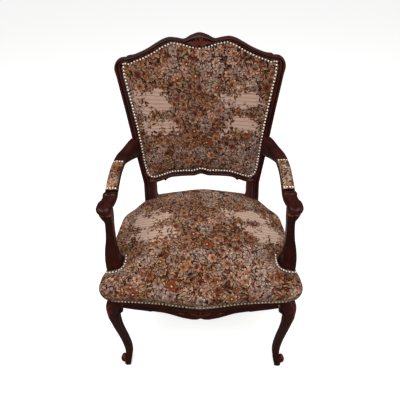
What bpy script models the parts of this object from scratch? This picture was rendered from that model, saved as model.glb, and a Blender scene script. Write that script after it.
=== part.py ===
# A carved, show-wood armchair with a stuffed seat, back and arm pads.
# Lengths are in metres. Y runs back from the line of the front feet, Z up from the floor,
# and the chair stands on its origin because everything hangs from one shifted empty.
import math

import bmesh
import bpy
from mathutils import Vector
from mathutils.bvhtree import BVHTree

GAP = 0.0003
ORIGIN_Y = 0.325

# Seat frame
RAIL_TOP = 0.415
RAIL_BOTTOM = 0.352
RAIL_THICK = 0.026
FRONT_Y = 0.008
FRONT_BOW = 0.025
HALF_FRONT = 0.272
HALF_SEAT = 0.291
HALF_REAR = 0.2185
POST_FRONT_Y = 0.4258
POST_DEPTH = 0.030
LEG_BLOCK = 0.029
LEG_BLOCK_DEPTH = 0.044
FOOT_SCROLL = 0.0175
APRON_DROP = 0.033

# Back frame
BACK_BASE_Y = 0.4831
BACK_BASE_Z = 0.50
BACK_RAKE = 0.324
BACK_HOLLOW = 0.2755
BACK_FRONT = 0.010
BACK_REAR = 0.022
REBATE = 0.001
HEM_MARGIN = 0.0025
POST_MOULDING = 0.0225

# Arms
ARM_HEIGHT = 0.661
ARM_THICK = 0.026
ARM_SPREAD = 0.2690
ARM_LEAN = 0.065
KNUCKLE_Y = 0.138
STUMP_Y = 0.139
PAD_FRONT_Y = 0.232
PAD_REAR_Y = 0.381
PAD_RISE = 0.013
PAD_MARGIN = 0.002

# Cloth and nails
CLOTH = 0.0015
HEM = 0.0045
NAIL_Z = 0.393
NAIL_RADIUS = 0.0042
NAIL_HEIGHT = 0.0026
NAIL_PITCH = 0.0105
NAIL_SIDES = 4
SEAT_BULGE = 0.0135
SEAT_EDGE_Z = 0.447
SEAT_CROWN_Z = 0.503
SEAT_REAR_LIFT = 0.026
BACK_CROWN = 0.021
CUT = 0.0013
STUFFING_EASE = 0.0025

# Underneath
WEB_WIDTH = 0.050
WEB_THICK = 0.0014
WEB_MARGIN = 0.014
SPRING_WIRE = 0.0016
SPRING_RADIUS = 0.036
SPRING_TURNS = 3.0
SPRING_FLAT = 0.2
HESSIAN = 0.001
HESSIAN_RISE = 0.020
TENON = 0.016
TENON_CLEARANCE = 0.0004
BLOCK_THICK = 0.022
BLOCK_LEG = 0.062
SCREW_RADIUS = 0.002
SCREW_LENGTH = 0.030


def clear_scene():
    for obj in list(bpy.data.objects):
        bpy.data.objects.remove(obj, do_unlink=True)


def new_collection(name):
    collection = bpy.data.collections.new(name)
    bpy.context.scene.collection.children.link(collection)
    return collection


def principled(name, colour, roughness, metallic=0.0):
    material = bpy.data.materials.new(name)
    material.use_nodes = True
    shader = material.node_tree.nodes["Principled BSDF"]
    shader.inputs["Base Color"].default_value = (*colour, 1.0)
    shader.inputs["Roughness"].default_value = roughness
    shader.inputs["Metallic"].default_value = metallic
    return material


clear_scene()
CHAIR = new_collection("show_wood_armchair")
CUTTERS = new_collection("cutters")
ORIGIN = bpy.data.objects.new("chair_origin", None)
ORIGIN.location = (0.0, -ORIGIN_Y, 0.0)
CHAIR.objects.link(ORIGIN)

POLISHED = principled("polished mahogany", (0.030, 0.010, 0.007), 0.32)
BEECH = principled("plain beech", (0.42, 0.27, 0.15), 0.6)
TAPESTRY = principled("flowered tapestry", (0.27, 0.15, 0.09), 0.95)
JUTE = principled("jute webbing", (0.33, 0.24, 0.14), 0.9)
SACKING = principled("hessian", (0.38, 0.29, 0.18), 0.95)
STUFFING = principled("stuffing", (0.45, 0.38, 0.28), 1.0)
STEEL = principled("steel", (0.35, 0.34, 0.33), 0.4, 1.0)


# Basic makers

def add_mesh(name, points, faces, material, collection=None, sharp=35.0):
    mesh = bpy.data.meshes.new(name)
    mesh.from_pydata([tuple(p) for p in points], [], faces)
    shape = bmesh.new()
    shape.from_mesh(mesh)
    bmesh.ops.recalc_face_normals(shape, faces=shape.faces)
    shape.to_mesh(mesh)
    shape.free()
    return add_object(name, mesh, material, collection, sharp)


def add_object(name, mesh, material, collection=None, sharp=35.0):
    if material:
        mesh.materials.append(material)
    mesh.shade_smooth()
    mesh.set_sharp_from_angle(angle=math.radians(sharp))
    obj = bpy.data.objects.new(name, mesh)
    (collection or CHAIR).objects.link(obj)
    obj.parent = ORIGIN
    return obj


def hide_cutter(obj):
    obj.hide_render = True
    obj.display_type = "WIRE"
    return obj


def loft(name, rings, material, collection=None):
    # A solid through closed rings with equally many points, capped at both ends.
    count = len(rings[0])
    points = [point for ring in rings for point in ring]
    faces = []
    for i in range(len(rings) - 1):
        for j in range(count):
            k = (j + 1) % count
            faces.append((i * count + j, i * count + k, (i + 1) * count + k, (i + 1) * count + j))
    faces.append(tuple(range(count)))
    faces.append(tuple((len(rings) - 1) * count + j for j in range(count)))
    return add_mesh(name, points, faces, material, collection)


def mirrored(rings, side):
    return [[Vector((side * p.x, p.y, p.z)) for p in ring] for ring in rings]


def boolean(obj, other, operation):
    modifier = obj.modifiers.new(operation.lower() + " " + other.name, "BOOLEAN")
    modifier.operation = operation
    modifier.solver = "EXACT"
    modifier.object = other


def box(name, low, high):
    bpy.ops.mesh.primitive_cube_add(size=1.0)
    obj = bpy.context.object
    obj.name = name
    for owner in list(obj.users_collection):
        owner.objects.unlink(obj)
    CUTTERS.objects.link(obj)
    for vertex in obj.data.vertices:
        for axis in range(3):
            vertex.co[axis] = high[axis] if vertex.co[axis] > 0 else low[axis]
    obj.parent = ORIGIN
    return hide_cutter(obj)


def tenon(carrier, into, centre, half):
    # A square peg on the carrier, with a slightly larger mortise in the piece that takes it.
    name = carrier.name + " to " + into.name
    low = [c - h for c, h in zip(centre, half)]
    high = [c + h for c, h in zip(centre, half)]
    boolean(carrier, box("tenon " + name, low, high), "UNION")
    low = [v - TENON_CLEARANCE for v in low]
    high = [v + TENON_CLEARANCE for v in high]
    boolean(into, box("mortise " + name, low, high), "DIFFERENCE")


def between(table, at):
    # Straight interpolation in a short list of (position, value) pairs.
    if at <= table[0][0]:
        return table[0][1]
    for (a, va), (b, vb) in zip(table, table[1:]):
        if at <= b:
            return va + (vb - va) * (at - a) / (b - a)
    return table[-1][1]


def blend(a, b, t):
    return a + (b - a) * t


# Seat outline: the outer face of the rails in plan, from the front middle to the rear post

def front_points():
    shape = ((0.0, 0.0), (0.22, 0.22), (0.44, 0.56), (0.66, 0.74), (0.88, 0.85), (1.0, 1.0))
    return [(HALF_FRONT * u, FRONT_Y + FRONT_BOW * v) for u, v in shape]


def side_points():
    start = FRONT_Y + FRONT_BOW
    length = POST_FRONT_Y - GAP - start
    shape = ((0.025, 0.60), (0.065, 0.90), (0.17, 1.0), (0.30, 0.98), (0.43, 0.90), (0.56, 0.86),
             (0.68, 0.80), (0.79, 0.70), (0.89, 0.35), (1.0, 0.0))
    points = []
    for u, v in shape:
        edge = HALF_FRONT if u < 0.1 else HALF_REAR
        points.append((blend(edge, HALF_SEAT, v), start + length * u))
    return points


FRONT_LINE = front_points()
SIDE_LINE = side_points()
CORNER = SIDE_LINE[:2]
JOINT_X = HALF_FRONT - LEG_BLOCK
JOINT_Y = FRONT_Y + FRONT_BOW + LEG_BLOCK_DEPTH
REAR_FACE_Y = POST_FRONT_Y + POST_DEPTH


def front_y(x):
    return between(FRONT_LINE, abs(x))


def side_x(y):
    return between([(q, p) for p, q in SIDE_LINE], y)


# Back surface and the lines drawn on it, as half outlines in x and z

NAIL_LINE = [
    (0.0, 0.9435), (0.030, 0.948), (0.060, 0.957), (0.092, 0.9617), (0.124, 0.950),
    (0.153, 0.935), (0.190, 0.920), (0.216, 0.913), (0.235, 0.906), (0.2534, 0.911),
    (0.2535, 0.877), (0.246, 0.832), (0.2355, 0.770), (0.2251, 0.705), (0.2185, 0.652),
    (0.2116, 0.589), (0.2064, 0.5544), (0.2007, 0.535), (0.185, 0.5236), (0.160, 0.5275),
    (0.1355, 0.5343), (0.109, 0.5412), (0.064, 0.5431), (0.033, 0.5421), (0.0, 0.5509),
]
POST_OUTER = [
    (0.0, 0.212), (0.22, 0.214), (0.33, 0.216), (0.43, 0.2185), (0.506, 0.2208), (0.54, 0.2262),
    (0.61, 0.2376), (0.672, 0.2472), (0.76, 0.2602), (0.85, 0.2748), (0.902, 0.2838),
]
POST_INNER = [
    (0.0, 0.186), (0.22, 0.180), (0.33, 0.1725), (0.40, 0.1665), (0.445, 0.1665), (0.462, 0.172),
    (0.506, 0.1745), (0.572, 0.1935), (0.61, 0.1985), (0.672, 0.206), (0.76, 0.218), (0.85, 0.231),
    (0.868, 0.2335),
]
POST_CENTRE_Y = [
    (0.0, 0.505), (0.05, 0.490), (0.10, 0.476), (0.16, 0.461), (0.22, 0.449), (0.28, 0.4425),
    (0.33, POST_FRONT_Y + POST_DEPTH / 2),
]
POST_LEVELS = [0.0, 0.05, 0.10, 0.16, 0.22, 0.28, 0.33, 0.40, RAIL_TOP, 0.445, 0.462, 0.484,
               0.506, 0.511, 0.514, 0.530, 0.54, 0.572, 0.61, 0.64, 0.672, 0.715, 0.76, 0.805, 0.85]
REBATE_FROM = 0.512
JOINT_LOW = (0.2335, 0.868)
JOINT_HIGH = (0.2475, 0.9225)
EAR = [((0.2782, 0.872), 0.0), ((0.2838, 0.900), 0.40), ((0.2650, 0.922), 0.82), ((0.2560, 0.9222), 1.0)]
CREST_OUTER = [
    (0.2472, 0.9225), (0.2381, 0.9279), (0.2178, 0.9301), (0.195, 0.937), (0.1729, 0.9454),
    (0.147, 0.958), (0.122, 0.9695), (0.0993, 0.9748), (0.0724, 0.972), (0.051, 0.9687),
    (0.030, 0.978), (0.012, 0.984), (0.0, 0.9855),
]
CREST_INNER = [
    (0.2332, 0.868), (0.224, 0.876), (0.207, 0.884), (0.190, 0.890), (0.170, 0.897),
    (0.147, 0.908), (0.122, 0.918), (0.0993, 0.924), (0.0724, 0.922), (0.051, 0.9185),
    (0.030, 0.916), (0.012, 0.915), (0.0, 0.915),
]
LOWER_OUTER = [
    (0.1742, 0.506), (0.158, 0.510), (0.1433, 0.5146), (0.137, 0.5106), (0.128, 0.518),
    (0.113, 0.5235), (0.083, 0.5255), (0.050, 0.5265), (0.0254, 0.5272), (0.0, 0.5338),
]
LOWER_INNER = [
    (0.1932, 0.572), (0.175, 0.570), (0.155, 0.5695), (0.145, 0.569), (0.133, 0.5685),
    (0.113, 0.568), (0.083, 0.566), (0.050, 0.566), (0.0254, 0.568), (0.0, 0.570),
]


def back_y(x, z):
    return BACK_BASE_Y + BACK_RAKE * (z - BACK_BASE_Z) - BACK_HOLLOW * x * x


def whole(half):
    # A closed outline from its right half, which starts and ends on the middle line.
    return half + [(-x, z) for x, z in reversed(half[1:-1])]


def offset(outline, distance):
    # The closed outline moved outward, corner by corner.
    moved = []
    count = len(outline)
    for i, here in enumerate(outline):
        before = Vector(outline[i - 1])
        after = Vector(outline[(i + 1) % count])
        here = Vector(here)
        a = (here - before).normalized()
        b = (after - here).normalized()
        normal = Vector((-(a + b).y, (a + b).x)).normalized()
        stretch = 1.0 / max(0.6, normal.dot(Vector((-a.y, a.x))))
        moved.append(tuple(here + normal * distance * stretch))
    return moved


def inside(outline, x, z):
    hit = False
    for (xa, za), (xb, zb) in zip(outline, outline[1:] + outline[:1]):
        if (za > z) != (zb > z) and x < xa + (xb - xa) * (z - za) / (zb - za):
            hit = not hit
    return hit


BACK_NAILS = whole(NAIL_LINE)
BACK_HEM = offset(BACK_NAILS, HEM)


def moulding_width(outer, inner):
    # How far the show wood runs in from the outer edge before the hem of the back cover.
    outer = Vector(outer)
    inner = Vector(inner)
    length = (inner - outer).length
    steps = 120
    for i in range(steps):
        p = outer.lerp(inner, i / steps)
        if inside(BACK_HEM, abs(p.x), p.y):
            return max(0.004, length * i / steps - HEM_MARGIN)
    return None


# The moulding, from the outer edge in: share of its width and depth in front of the nail plane
MOULDING = [(0.0, -0.2), (0.11, -0.92), (0.38, -0.95), (0.51, -0.40), (0.64, -0.85), (0.90, -0.72),
            (1.0, -0.40)]


def back_ring(outer, inner, width, rebated=True):
    # One cross-section of a back member: moulded face, rebate under the cover, plain rear.
    outer = Vector(outer)
    inner = Vector(inner)
    across = (inner - outer).normalized()
    flat = REBATE if rebated else -0.4 * BACK_FRONT
    section = [(outer + across * width * u, BACK_FRONT * v) for u, v in MOULDING]
    section.append((outer + across * (width + 0.0005), flat))
    section.append((inner, flat))
    section.append((inner, BACK_REAR - 0.003))
    section.append((inner.lerp(outer, 0.1), BACK_REAR))
    section.append((outer.lerp(inner, 0.15), BACK_REAR))
    section.append((outer, BACK_REAR - 0.006))
    return [Vector((p.x, back_y(p.x, p.y) + n, p.y)) for p, n in section]


def post_ring(z):
    # Horizontal section of a rear post, upright below the seat and raked above it.
    outer = (between(POST_OUTER, z), z)
    inner = (between(POST_INNER, z), z)
    width = moulding_width(outer, inner) or POST_MOULDING
    above = back_ring(outer, inner, width, z > REBATE_FROM)
    share = min(1.0, max(0.0, (z - RAIL_TOP) / (0.506 - RAIL_TOP)))
    share = share * share * (3 - 2 * share)
    centre = between(POST_CENTRE_Y, z)
    ring = []
    for p in above:
        forward = (p.y - back_y(p.x, z)) < 0
        below = centre + (-POST_DEPTH / 2 if forward else POST_DEPTH / 2)
        if not forward and p.y - back_y(p.x, z) < BACK_REAR - 0.001:
            below = centre + POST_DEPTH / 2 - 0.006
        ring.append(Vector((p.x, blend(below, p.y, share), z)))
    return ring


def make_posts():
    rings = [post_ring(z) for z in POST_LEVELS]
    low = Vector(JOINT_LOW)
    high = Vector(JOINT_HIGH)
    for outer, t in EAR:
        inner = tuple(low.lerp(high, t))
        length = (Vector(inner) - Vector(outer)).length
        width = moulding_width(outer, inner) or length * 0.8
        rings.append(back_ring(outer, inner, min(width, length * 0.9)))
    return [loft("rear_post_" + name, mirrored(rings, side), POLISHED)
            for name, side in (("left", -1), ("right", 1))]


def member(name, outer_half, inner_half, gap=0.0):
    # A back rail from side to side, its end faces a gap short of the posts.
    rings = []
    for outer, inner in zip(outer_half, inner_half):
        width = moulding_width(outer, inner)
        rings.append(back_ring((outer[0] - gap, outer[1]), (inner[0] - gap, inner[1]), width))
    other = [[Vector((-p.x, p.y, p.z)) for p in ring] for ring in rings[:-1]]
    return loft(name, rings + other[::-1], POLISHED)


# Carved leaves: a fan of low rounded lobes joined to the rail that carries them

def lobe(name, centre, size, turn=0.0, lean=0.0):
    bpy.ops.mesh.primitive_uv_sphere_add(segments=7, ring_count=5, radius=1.0)
    obj = bpy.context.object
    obj.name = name
    for owner in list(obj.users_collection):
        owner.objects.unlink(obj)
    CUTTERS.objects.link(obj)
    for vertex in obj.data.vertices:
        x, y, z = (v * s for v, s in zip(vertex.co, size))
        x, z = x * math.cos(turn) + z * math.sin(turn), z * math.cos(turn) - x * math.sin(turn)
        y, z = y + z * lean, z
        vertex.co = (centre[0] + x, centre[1] + y, centre[2] + z)
    obj.parent = ORIGIN
    return hide_cutter(obj)


def carve_crest(crest):
    for i, turn in enumerate((-1.04, -0.50, 0.02, 0.53, 1.01)):
        reach = 0.020 - 0.004 * abs(turn)
        x = math.sin(turn) * reach
        z = CREST_OUTER[-1][1] - 0.029 + math.cos(turn) * reach
        y = back_y(x, z) - BACK_FRONT + 0.001
        boolean(crest, lobe(f"crest leaf {i}", (x, y, z), (0.0052, 0.006, 0.0125), turn, BACK_RAKE), "UNION")


def carve_apron(rail):
    for i, (x, rise, turn) in enumerate(((0.0, 0.0, 0.0), (0.016, 0.002, 0.8), (-0.016, 0.002, -0.8),
                                         (0.036, 0.004, 1.2), (-0.036, 0.004, -1.2))):
        z = RAIL_BOTTOM - 0.0035 + rise
        y = front_y(x) - 0.001
        boolean(rail, lobe(f"apron leaf {i}", (x, y, z), (0.006, 0.0055, 0.014), turn), "UNION")


# Seat frame

def apron_z(x):
    # Shaped lower edge of the front rail, lowest beside the middle notch.
    low = RAIL_BOTTOM - APRON_DROP
    shape = [(0.0, 0.011), (0.045, 0.0025), (0.10, 0.0), (0.20, 0.005), (0.38, 0.020), (0.55, 0.0260),
             (0.58, 0.0230), (0.78, 0.031), (JOINT_X / HALF_FRONT, 0.038)]
    return low + between(shape, abs(x) / HALF_FRONT)


def side_edge_z(y):
    length = POST_FRONT_Y - JOINT_Y
    shape = [(0.0, 0.357), (0.12, 0.349), (0.35, 0.345), (0.65, 0.345), (0.9, 0.348), (1.0, 0.350)]
    return between(shape, (y - JOINT_Y) / length)


RAIL_FACE = [(-0.001, 1.0), (-0.004, 0.85), (-0.001, 0.68), (0.0015, 0.50), (-0.0035, 0.22), (0.0, 0.0)]


def rail_section(edge_z):
    # Distance in from the face and height, running down the face and back up inside.
    shown = NAIL_Z - HEM - CLOTH - 0.003
    section = [(0.003, RAIL_TOP), (0.0, RAIL_TOP - 0.004), (0.0, shown + 0.002)]
    section += [(d, edge_z + (shown - edge_z) * f) for d, f in RAIL_FACE]
    section += [(0.011, edge_z), (0.012, RAIL_BOTTOM), (RAIL_THICK, RAIL_BOTTOM), (RAIL_THICK, RAIL_TOP)]
    return section


def make_front_rail():
    stations = sorted({x for x, y in FRONT_LINE if x < JOINT_X} |
                      {HALF_FRONT * u for u in (0.045, 0.10, 0.30, 0.55, 0.58, 0.78)} | {JOINT_X - GAP})
    stations = [-x for x in reversed(stations[1:])] + stations
    rings = [[Vector((x, front_y(x) + d, z)) for d, z in rail_section(apron_z(x))] for x in stations]
    return loft("front_rail", rings, POLISHED)


def make_side_rails():
    stations = [JOINT_Y + GAP] + [y for x, y in SIDE_LINE if y > JOINT_Y + 0.005]
    rings = [[Vector((side_x(y) - d, y, z)) for d, z in rail_section(side_edge_z(y))] for y in stations]
    return [loft("side_rail_" + name, mirrored(rings, side), POLISHED)
            for name, side in (("left", -1), ("right", 1))]


def make_rear_rail():
    half = between(POST_INNER, 0.40) - GAP
    low = (-half, POST_FRONT_Y + 0.003, RAIL_BOTTOM)
    high = (half, REAR_FACE_Y, RAIL_TOP)
    ring = [(low[1], low[2]), (high[1], low[2]), (high[1], high[2]), (low[1], high[2])]
    rings = [[Vector((x, y, z)) for y, z in ring] for x in (low[0], high[0])]
    return loft("rear_rail", rings, POLISHED)


# Front legs: centre in plan, half width and height, from the knee to the toe
LEG_STATIONS = [
    (0.368, 0.0015, 0.0045, 0.0245), (0.350, 0.0030, 0.0035, 0.0245), (0.335, 0.0060, 0.0000, 0.0220),
    (0.310, 0.0105, -0.0060, 0.0182),
    (0.280, 0.0105, -0.0100, 0.0148), (0.240, 0.0090, -0.0120, 0.0128), (0.190, 0.0060, -0.0110, 0.0120),
    (0.140, 0.0022, -0.0110, 0.0120), (0.090, -0.0005, -0.0150, 0.0122), (0.055, 0.0010, -0.0220, 0.0122),
    (0.030, 0.0065, -0.0310, 0.0122), (0.012, 0.0100, -0.0370, 0.0115), (0.0, 0.0095, -0.0390, 0.0095),
]
LEG_SECTION = [(-1.05, -1.05), (-0.55, -0.92), (0.60, -1.0), (0.93, -0.93), (1.0, -0.60), (0.92, 0.55),
               (1.05, 1.05), (0.40, 1.0), (-0.40, 1.0), (-0.93, 0.93), (-1.0, 0.35), (-1.0, -0.35)]


def leg_block_ring(z):
    # The square head of the leg, flush with both rails outside and a gap clear of their ends.
    x_in = JOINT_X + GAP
    y_back = JOINT_Y - GAP
    a = Vector((x_in, front_y(x_in)))
    v = Vector(FRONT_LINE[-1])
    b = Vector((side_x(y_back), y_back))
    d = Vector((x_in, y_back))
    c1, c2 = Vector(CORNER[0]), Vector(CORNER[1])
    plan = [a, a.lerp(v, 0.5), v, c1, c2, c2.lerp(b, 0.5), b, b.lerp(d, 0.33), b.lerp(d, 0.67), d,
            d.lerp(a, 0.33), d.lerp(a, 0.67)]
    return [Vector((p.x, p.y, z)) for p in plan]


def leg_centre():
    return HALF_FRONT - 0.001, FRONT_Y + FRONT_BOW + 0.009


def make_front_legs():
    x0, y0 = leg_centre()
    rings = [leg_block_ring(RAIL_TOP), leg_block_ring(NAIL_Z - HEM - CLOTH - 0.002)]
    for z, dx, dy, half in LEG_STATIONS:
        rings.append([Vector((x0 + dx + u * half, y0 + dy + v * half, z)) for u, v in LEG_SECTION])
    legs = []
    for name, side in (("left", -1), ("right", 1)):
        leg = loft("front_leg_" + name, mirrored(rings, side), POLISHED)
        z, dx, dy, half = LEG_STATIONS[-3]
        centre = (side * (x0 + dx + FOOT_SCROLL), y0 + dy, z - 0.003)
        boolean(leg, lobe("foot scroll " + name, centre, (0.012, 0.0155, 0.022)), "UNION")
        z, dx, dy, half = LEG_STATIONS[2]
        for i, (drop, size) in enumerate(((0.0, 0.015), (0.026, 0.012))):
            centre = (side * (x0 + dx + half * 0.72), y0 + dy - half * 0.80, z - drop)
            boolean(leg, lobe(f"knee leaf {name} {i}", centre, (0.007, 0.007, size)), "UNION")
        legs.append(leg)
    return legs


# Arms: centre line in plan with half widths, from the post forward to the knuckle
def arm_rear():
    # Where the arm's centre line meets the front of the post.
    x = between(POST_OUTER, ARM_HEIGHT) - 0.004
    return x, back_y(x, ARM_HEIGHT) - BACK_FRONT - GAP


def arm_stations():
    rear_x, rear_y = arm_rear()
    spread = ARM_SPREAD
    return [
        (rear_x - 0.004, rear_y - 0.001, 0.0185, -0.019, 2.6),
        (rear_x + 0.001, rear_y - 0.014, 0.0195, -0.017, 2.4),
        (spread - 0.014, blend(PAD_REAR_Y, rear_y, 0.54), 0.0205, -0.011, 1.85),
        (spread - 0.004, blend(PAD_REAR_Y, rear_y, 0.265), 0.0210, -0.005, 1.4),
        (spread, PAD_REAR_Y + 0.004, 0.0205, 0.0, 0.95), (spread + 0.001, 0.335, 0.0195, 0.0, 0.9),
        (spread - 0.002, 0.280, 0.0195, 0.0, 0.9), (spread - 0.007, PAD_FRONT_Y - 0.004, 0.0195, 0.0, 0.95),
        (spread - 0.008, PAD_FRONT_Y - 0.022, 0.0215, 0.0, 1.08),
        (spread - 0.007, PAD_FRONT_Y - 0.034, 0.0205, 0.0, 1.0),
        (spread - 0.006, 0.185, 0.0205, 0.0, 1.0), (spread - 0.001, KNUCKLE_Y + 0.033, 0.0220, 0.0, 1.12),
        (spread - 0.001, KNUCKLE_Y + 0.014, 0.0220, 0.0, 1.12),
        (spread - 0.002, KNUCKLE_Y + 0.004, 0.018, -0.003, 0.95),
        (spread - 0.002, KNUCKLE_Y, 0.011, -0.005, 0.6),
    ]


ARM_SECTION = [(-1.0, 0.15), (-0.92, 0.75), (-0.62, 1.0), (-0.25, 0.92), (0.0, 0.72), (0.25, 0.92),
               (0.62, 1.0), (0.92, 0.75), (1.0, 0.15), (0.85, -0.75), (0.45, -1.0), (-0.45, -1.0),
               (-0.85, -0.75)]


def pad_share(y):
    # One over the arm pad, nothing elsewhere, so that the wood is flat under the pad.
    return 1.0 if PAD_FRONT_Y - 0.006 < y < PAD_REAR_Y + 0.006 else 0.0


def arm_ring(x, y, half, lift, thick):
    # The rear end leans with the post that it meets.
    height = ARM_THICK / 2 * thick
    lean = BACK_RAKE * max(0.0, 1 - (arm_rear()[1] - 0.004 - y) / ARM_LEAN)
    ring = []
    for u, v in ARM_SECTION:
        if pad_share(y) and v > 0.15:
            v = 0.55
        if y < PAD_REAR_Y:
            v = max(v, -1.0 / thick)
        z = ARM_HEIGHT + lift + v * height
        ring.append(Vector((x + u * half, y + lean * (z - ARM_HEIGHT), z)))
    return ring


def make_arms():
    rings = [arm_ring(*station) for station in arm_stations()]
    return [loft("arm_" + name, mirrored(rings, side), POLISHED)
            for name, side in (("left", -1), ("right", 1))]


# Arm supports: height share, centre and half widths of each section
def stump_stations():
    base_x = side_x(STUMP_Y) - RAIL_THICK / 2
    top_x = ARM_SPREAD - 0.004
    top_z = ARM_HEIGHT - ARM_THICK / 2 - GAP
    foot_z = RAIL_TOP + GAP
    shape = [(0.0, 0.0, 0.0, 0.0255, 0.0250), (0.10, 0.05, 0.02, 0.0250, 0.0235),
             (0.25, 0.05, 0.02, 0.0215, 0.0185), (0.42, 0.15, 0.10, 0.0190, 0.0165),
             (0.58, 0.45, 0.35, 0.0158, 0.0155), (0.75, 0.75, 0.65, 0.0140, 0.0150),
             (0.90, 0.95, 0.90, 0.0138, 0.0155), (1.0, 1.0, 1.0, 0.0155, 0.0175)]
    stations = []
    for share, across, along, half, deep in shape:
        stations.append((blend(base_x, top_x, across), blend(STUMP_Y, STUMP_Y + 0.030, along),
                         blend(foot_z, top_z, share), half, deep))
    return stations


STUMP_SECTION = [(-1.0, -0.5), (-0.8, -0.95), (-0.35, -1.0), (0.0, -0.85), (0.35, -1.0), (0.8, -0.95),
                 (1.0, -0.5), (1.0, 0.5), (0.75, 1.0), (-0.75, 1.0), (-1.0, 0.5)]


def stump_rings(grow=0.0, rise=0.0):
    rings = []
    for x, y, z, half, deep in stump_stations():
        rings.append([Vector((x + u * (half + grow), y + v * (deep + grow), z + rise))
                      for u, v in STUMP_SECTION])
    return rings


def make_stumps():
    return [loft("arm_support_" + name, mirrored(stump_rings(), side), POLISHED)
            for name, side in (("left", -1), ("right", 1))]


# Clearance cutters for the cloth and stuffing round the arm supports and rear posts

def seat_cutters():
    cutters = []
    for name, side in (("left", -1), ("right", 1)):
        rings = stump_rings(CUT)[:4]
        rings.insert(0, [Vector((p.x, p.y, RAIL_TOP - 0.0002)) for p in rings[0]])
        cutters.append(hide_cutter(loft("support clearance " + name, mirrored(rings, side), None, CUTTERS)))
        rings = []
        for z in (RAIL_BOTTOM - 0.012, RAIL_TOP, 0.445, 0.470, 0.506, 0.530):
            ring = post_ring(z)
            left = min(p.x for p in ring) - CUT
            right = max(p.x for p in ring) + CUT
            near = min(p.y for p in ring) - CUT
            far = max(p.y for p in ring) + CUT
            rings.append([Vector((left, near, z)), Vector((right, near, z)), Vector((right, far, z)),
                          Vector((left, far, z))])
        cutters.append(hide_cutter(loft("post clearance " + name, mirrored(rings, side), None, CUTTERS)))
    return cutters


# Seat cover: rings from the hem up over the bulge to the crown

def seat_outline():
    # Outer face line with its outward direction, the share of bulge and the lift, all round.
    # The rear corner passes through each post, where the clearance cut then removes it.
    post_in = between(POST_INNER, 0.40)
    front = [(x, y, 1.0, 0.0) for x, y in FRONT_LINE[:-1]] + [(*FRONT_LINE[-1], 1.25, 0.0)]
    sides = [(x, y, 1.4, 0.0) for x, y in CORNER] + [(x, y, 1.0, 0.0) for x, y in SIDE_LINE[2:-2]]
    x, y = SIDE_LINE[-2]
    sides.append((x, y, 0.5, 0.0))
    x, y = SIDE_LINE[-1]
    sides.append((x, y, 0.0, 0.0))
    rear = [(blend(post_in, HALF_REAR, 0.4), REAR_FACE_Y - 0.012, 0.0, 0.15),
            (post_in + 0.003, REAR_FACE_Y, 0.0, 0.35), (post_in * 0.5, REAR_FACE_Y, 0.3, 0.9),
            (0.0, REAR_FACE_Y, 0.3, 1.15)]
    half = front + sides + rear
    other = [(-x, y, b, lift) for x, y, b, lift in reversed(half[1:-1])]
    return half + other


def outward(points):
    normals = []
    count = len(points)
    for i in range(count):
        a = Vector(points[i - 1][:2])
        b = Vector(points[i][:2])
        c = Vector(points[(i + 1) % count][:2])
        u = (b - a).normalized()
        v = (c - b).normalized()
        n = Vector(((u + v).y, -(u + v).x)).normalized()
        normals.append(n / max(0.7, n.dot(Vector((u.y, -u.x)))))
    return normals


SEAT_RINGS = [(0.20, RAIL_TOP - 0.009, 0.0), (0.95, RAIL_TOP + 0.011, 0.0), (0.55, SEAT_EDGE_Z, 1.0)]
DOME_RINGS = [0.84, 0.48]
SEAT_CENTRE_Y = 0.265


def seat_surface(lower=True):
    points = seat_outline()
    normals = outward(points)
    rings = []
    if lower:
        for z in (NAIL_Z - HEM - CLOTH, NAIL_Z + HEM + CLOTH):
            rings.append([Vector((x + n.x * (CLOTH + GAP), y + n.y * (CLOTH + GAP), z))
                          for (x, y, b, lift), n in zip(points, normals)])
    for share, z, raised in SEAT_RINGS:
        ring = []
        for (x, y, b, lift), n in zip(points, normals):
            out = CLOTH + GAP + SEAT_BULGE * share * b
            ring.append(Vector((x + n.x * out, y + n.y * out, z + SEAT_REAR_LIFT * lift * raised)))
        rings.append(ring)
    for f in DOME_RINGS:
        ring = []
        for x, y, b, lift in points:
            edge = SEAT_EDGE_Z + SEAT_REAR_LIFT * lift
            z = edge + (SEAT_CROWN_Z - edge) * (1 - f ** 2.4)
            ring.append(Vector((x * f, SEAT_CENTRE_Y + (y - SEAT_CENTRE_Y) * f, z)))
        rings.append(ring)
    return rings, Vector((0.0, SEAT_CENTRE_Y, SEAT_CROWN_Z))


def sheet_mesh(rings, centre):
    # An open surface through rings that close on a centre point.
    count = len(rings[0])
    points = [p for ring in rings for p in ring] + [centre]
    faces = []
    for i in range(len(rings) - 1):
        for j in range(count):
            k = (j + 1) % count
            faces.append((i * count + j, i * count + k, (i + 1) * count + k, (i + 1) * count + j))
    last = (len(rings) - 1) * count
    for j in range(count):
        faces.append((last + j, last + (j + 1) % count, len(points) - 1))
    return points, faces


def shell(name, rings, centre, material, thickness):
    points, faces = sheet_mesh(rings, centre)
    obj = add_mesh(name, points, faces, material)
    flat = obj.data
    up = sum(f.normal.dot(Vector((0, -0.3, 1))) * f.area for f in flat.polygons)
    if up < 0:
        flat.flip_normals()
    solid = obj.modifiers.new("thickness", "SOLIDIFY")
    solid.thickness = thickness
    solid.offset = -1.0
    solid.use_even_offset = True
    return obj


def inset_rings(rings, centre, depth):
    # The same rings moved in along their normals, for what lies under a cloth.
    points, faces = sheet_mesh(rings, centre)
    mesh = bpy.data.meshes.new("inset")
    mesh.from_pydata([tuple(p) for p in points], [], faces)
    up = sum(f.normal.dot(Vector((0, -0.3, 1))) * f.area for f in mesh.polygons)
    sign = 1.0 if up > 0 else -1.0
    moved = [v.co - v.normal * depth * sign for v in mesh.vertices]
    bpy.data.meshes.remove(mesh)
    count = len(rings[0])
    return [moved[i * count:(i + 1) * count] for i in range(len(rings))], moved[-1]


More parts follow.
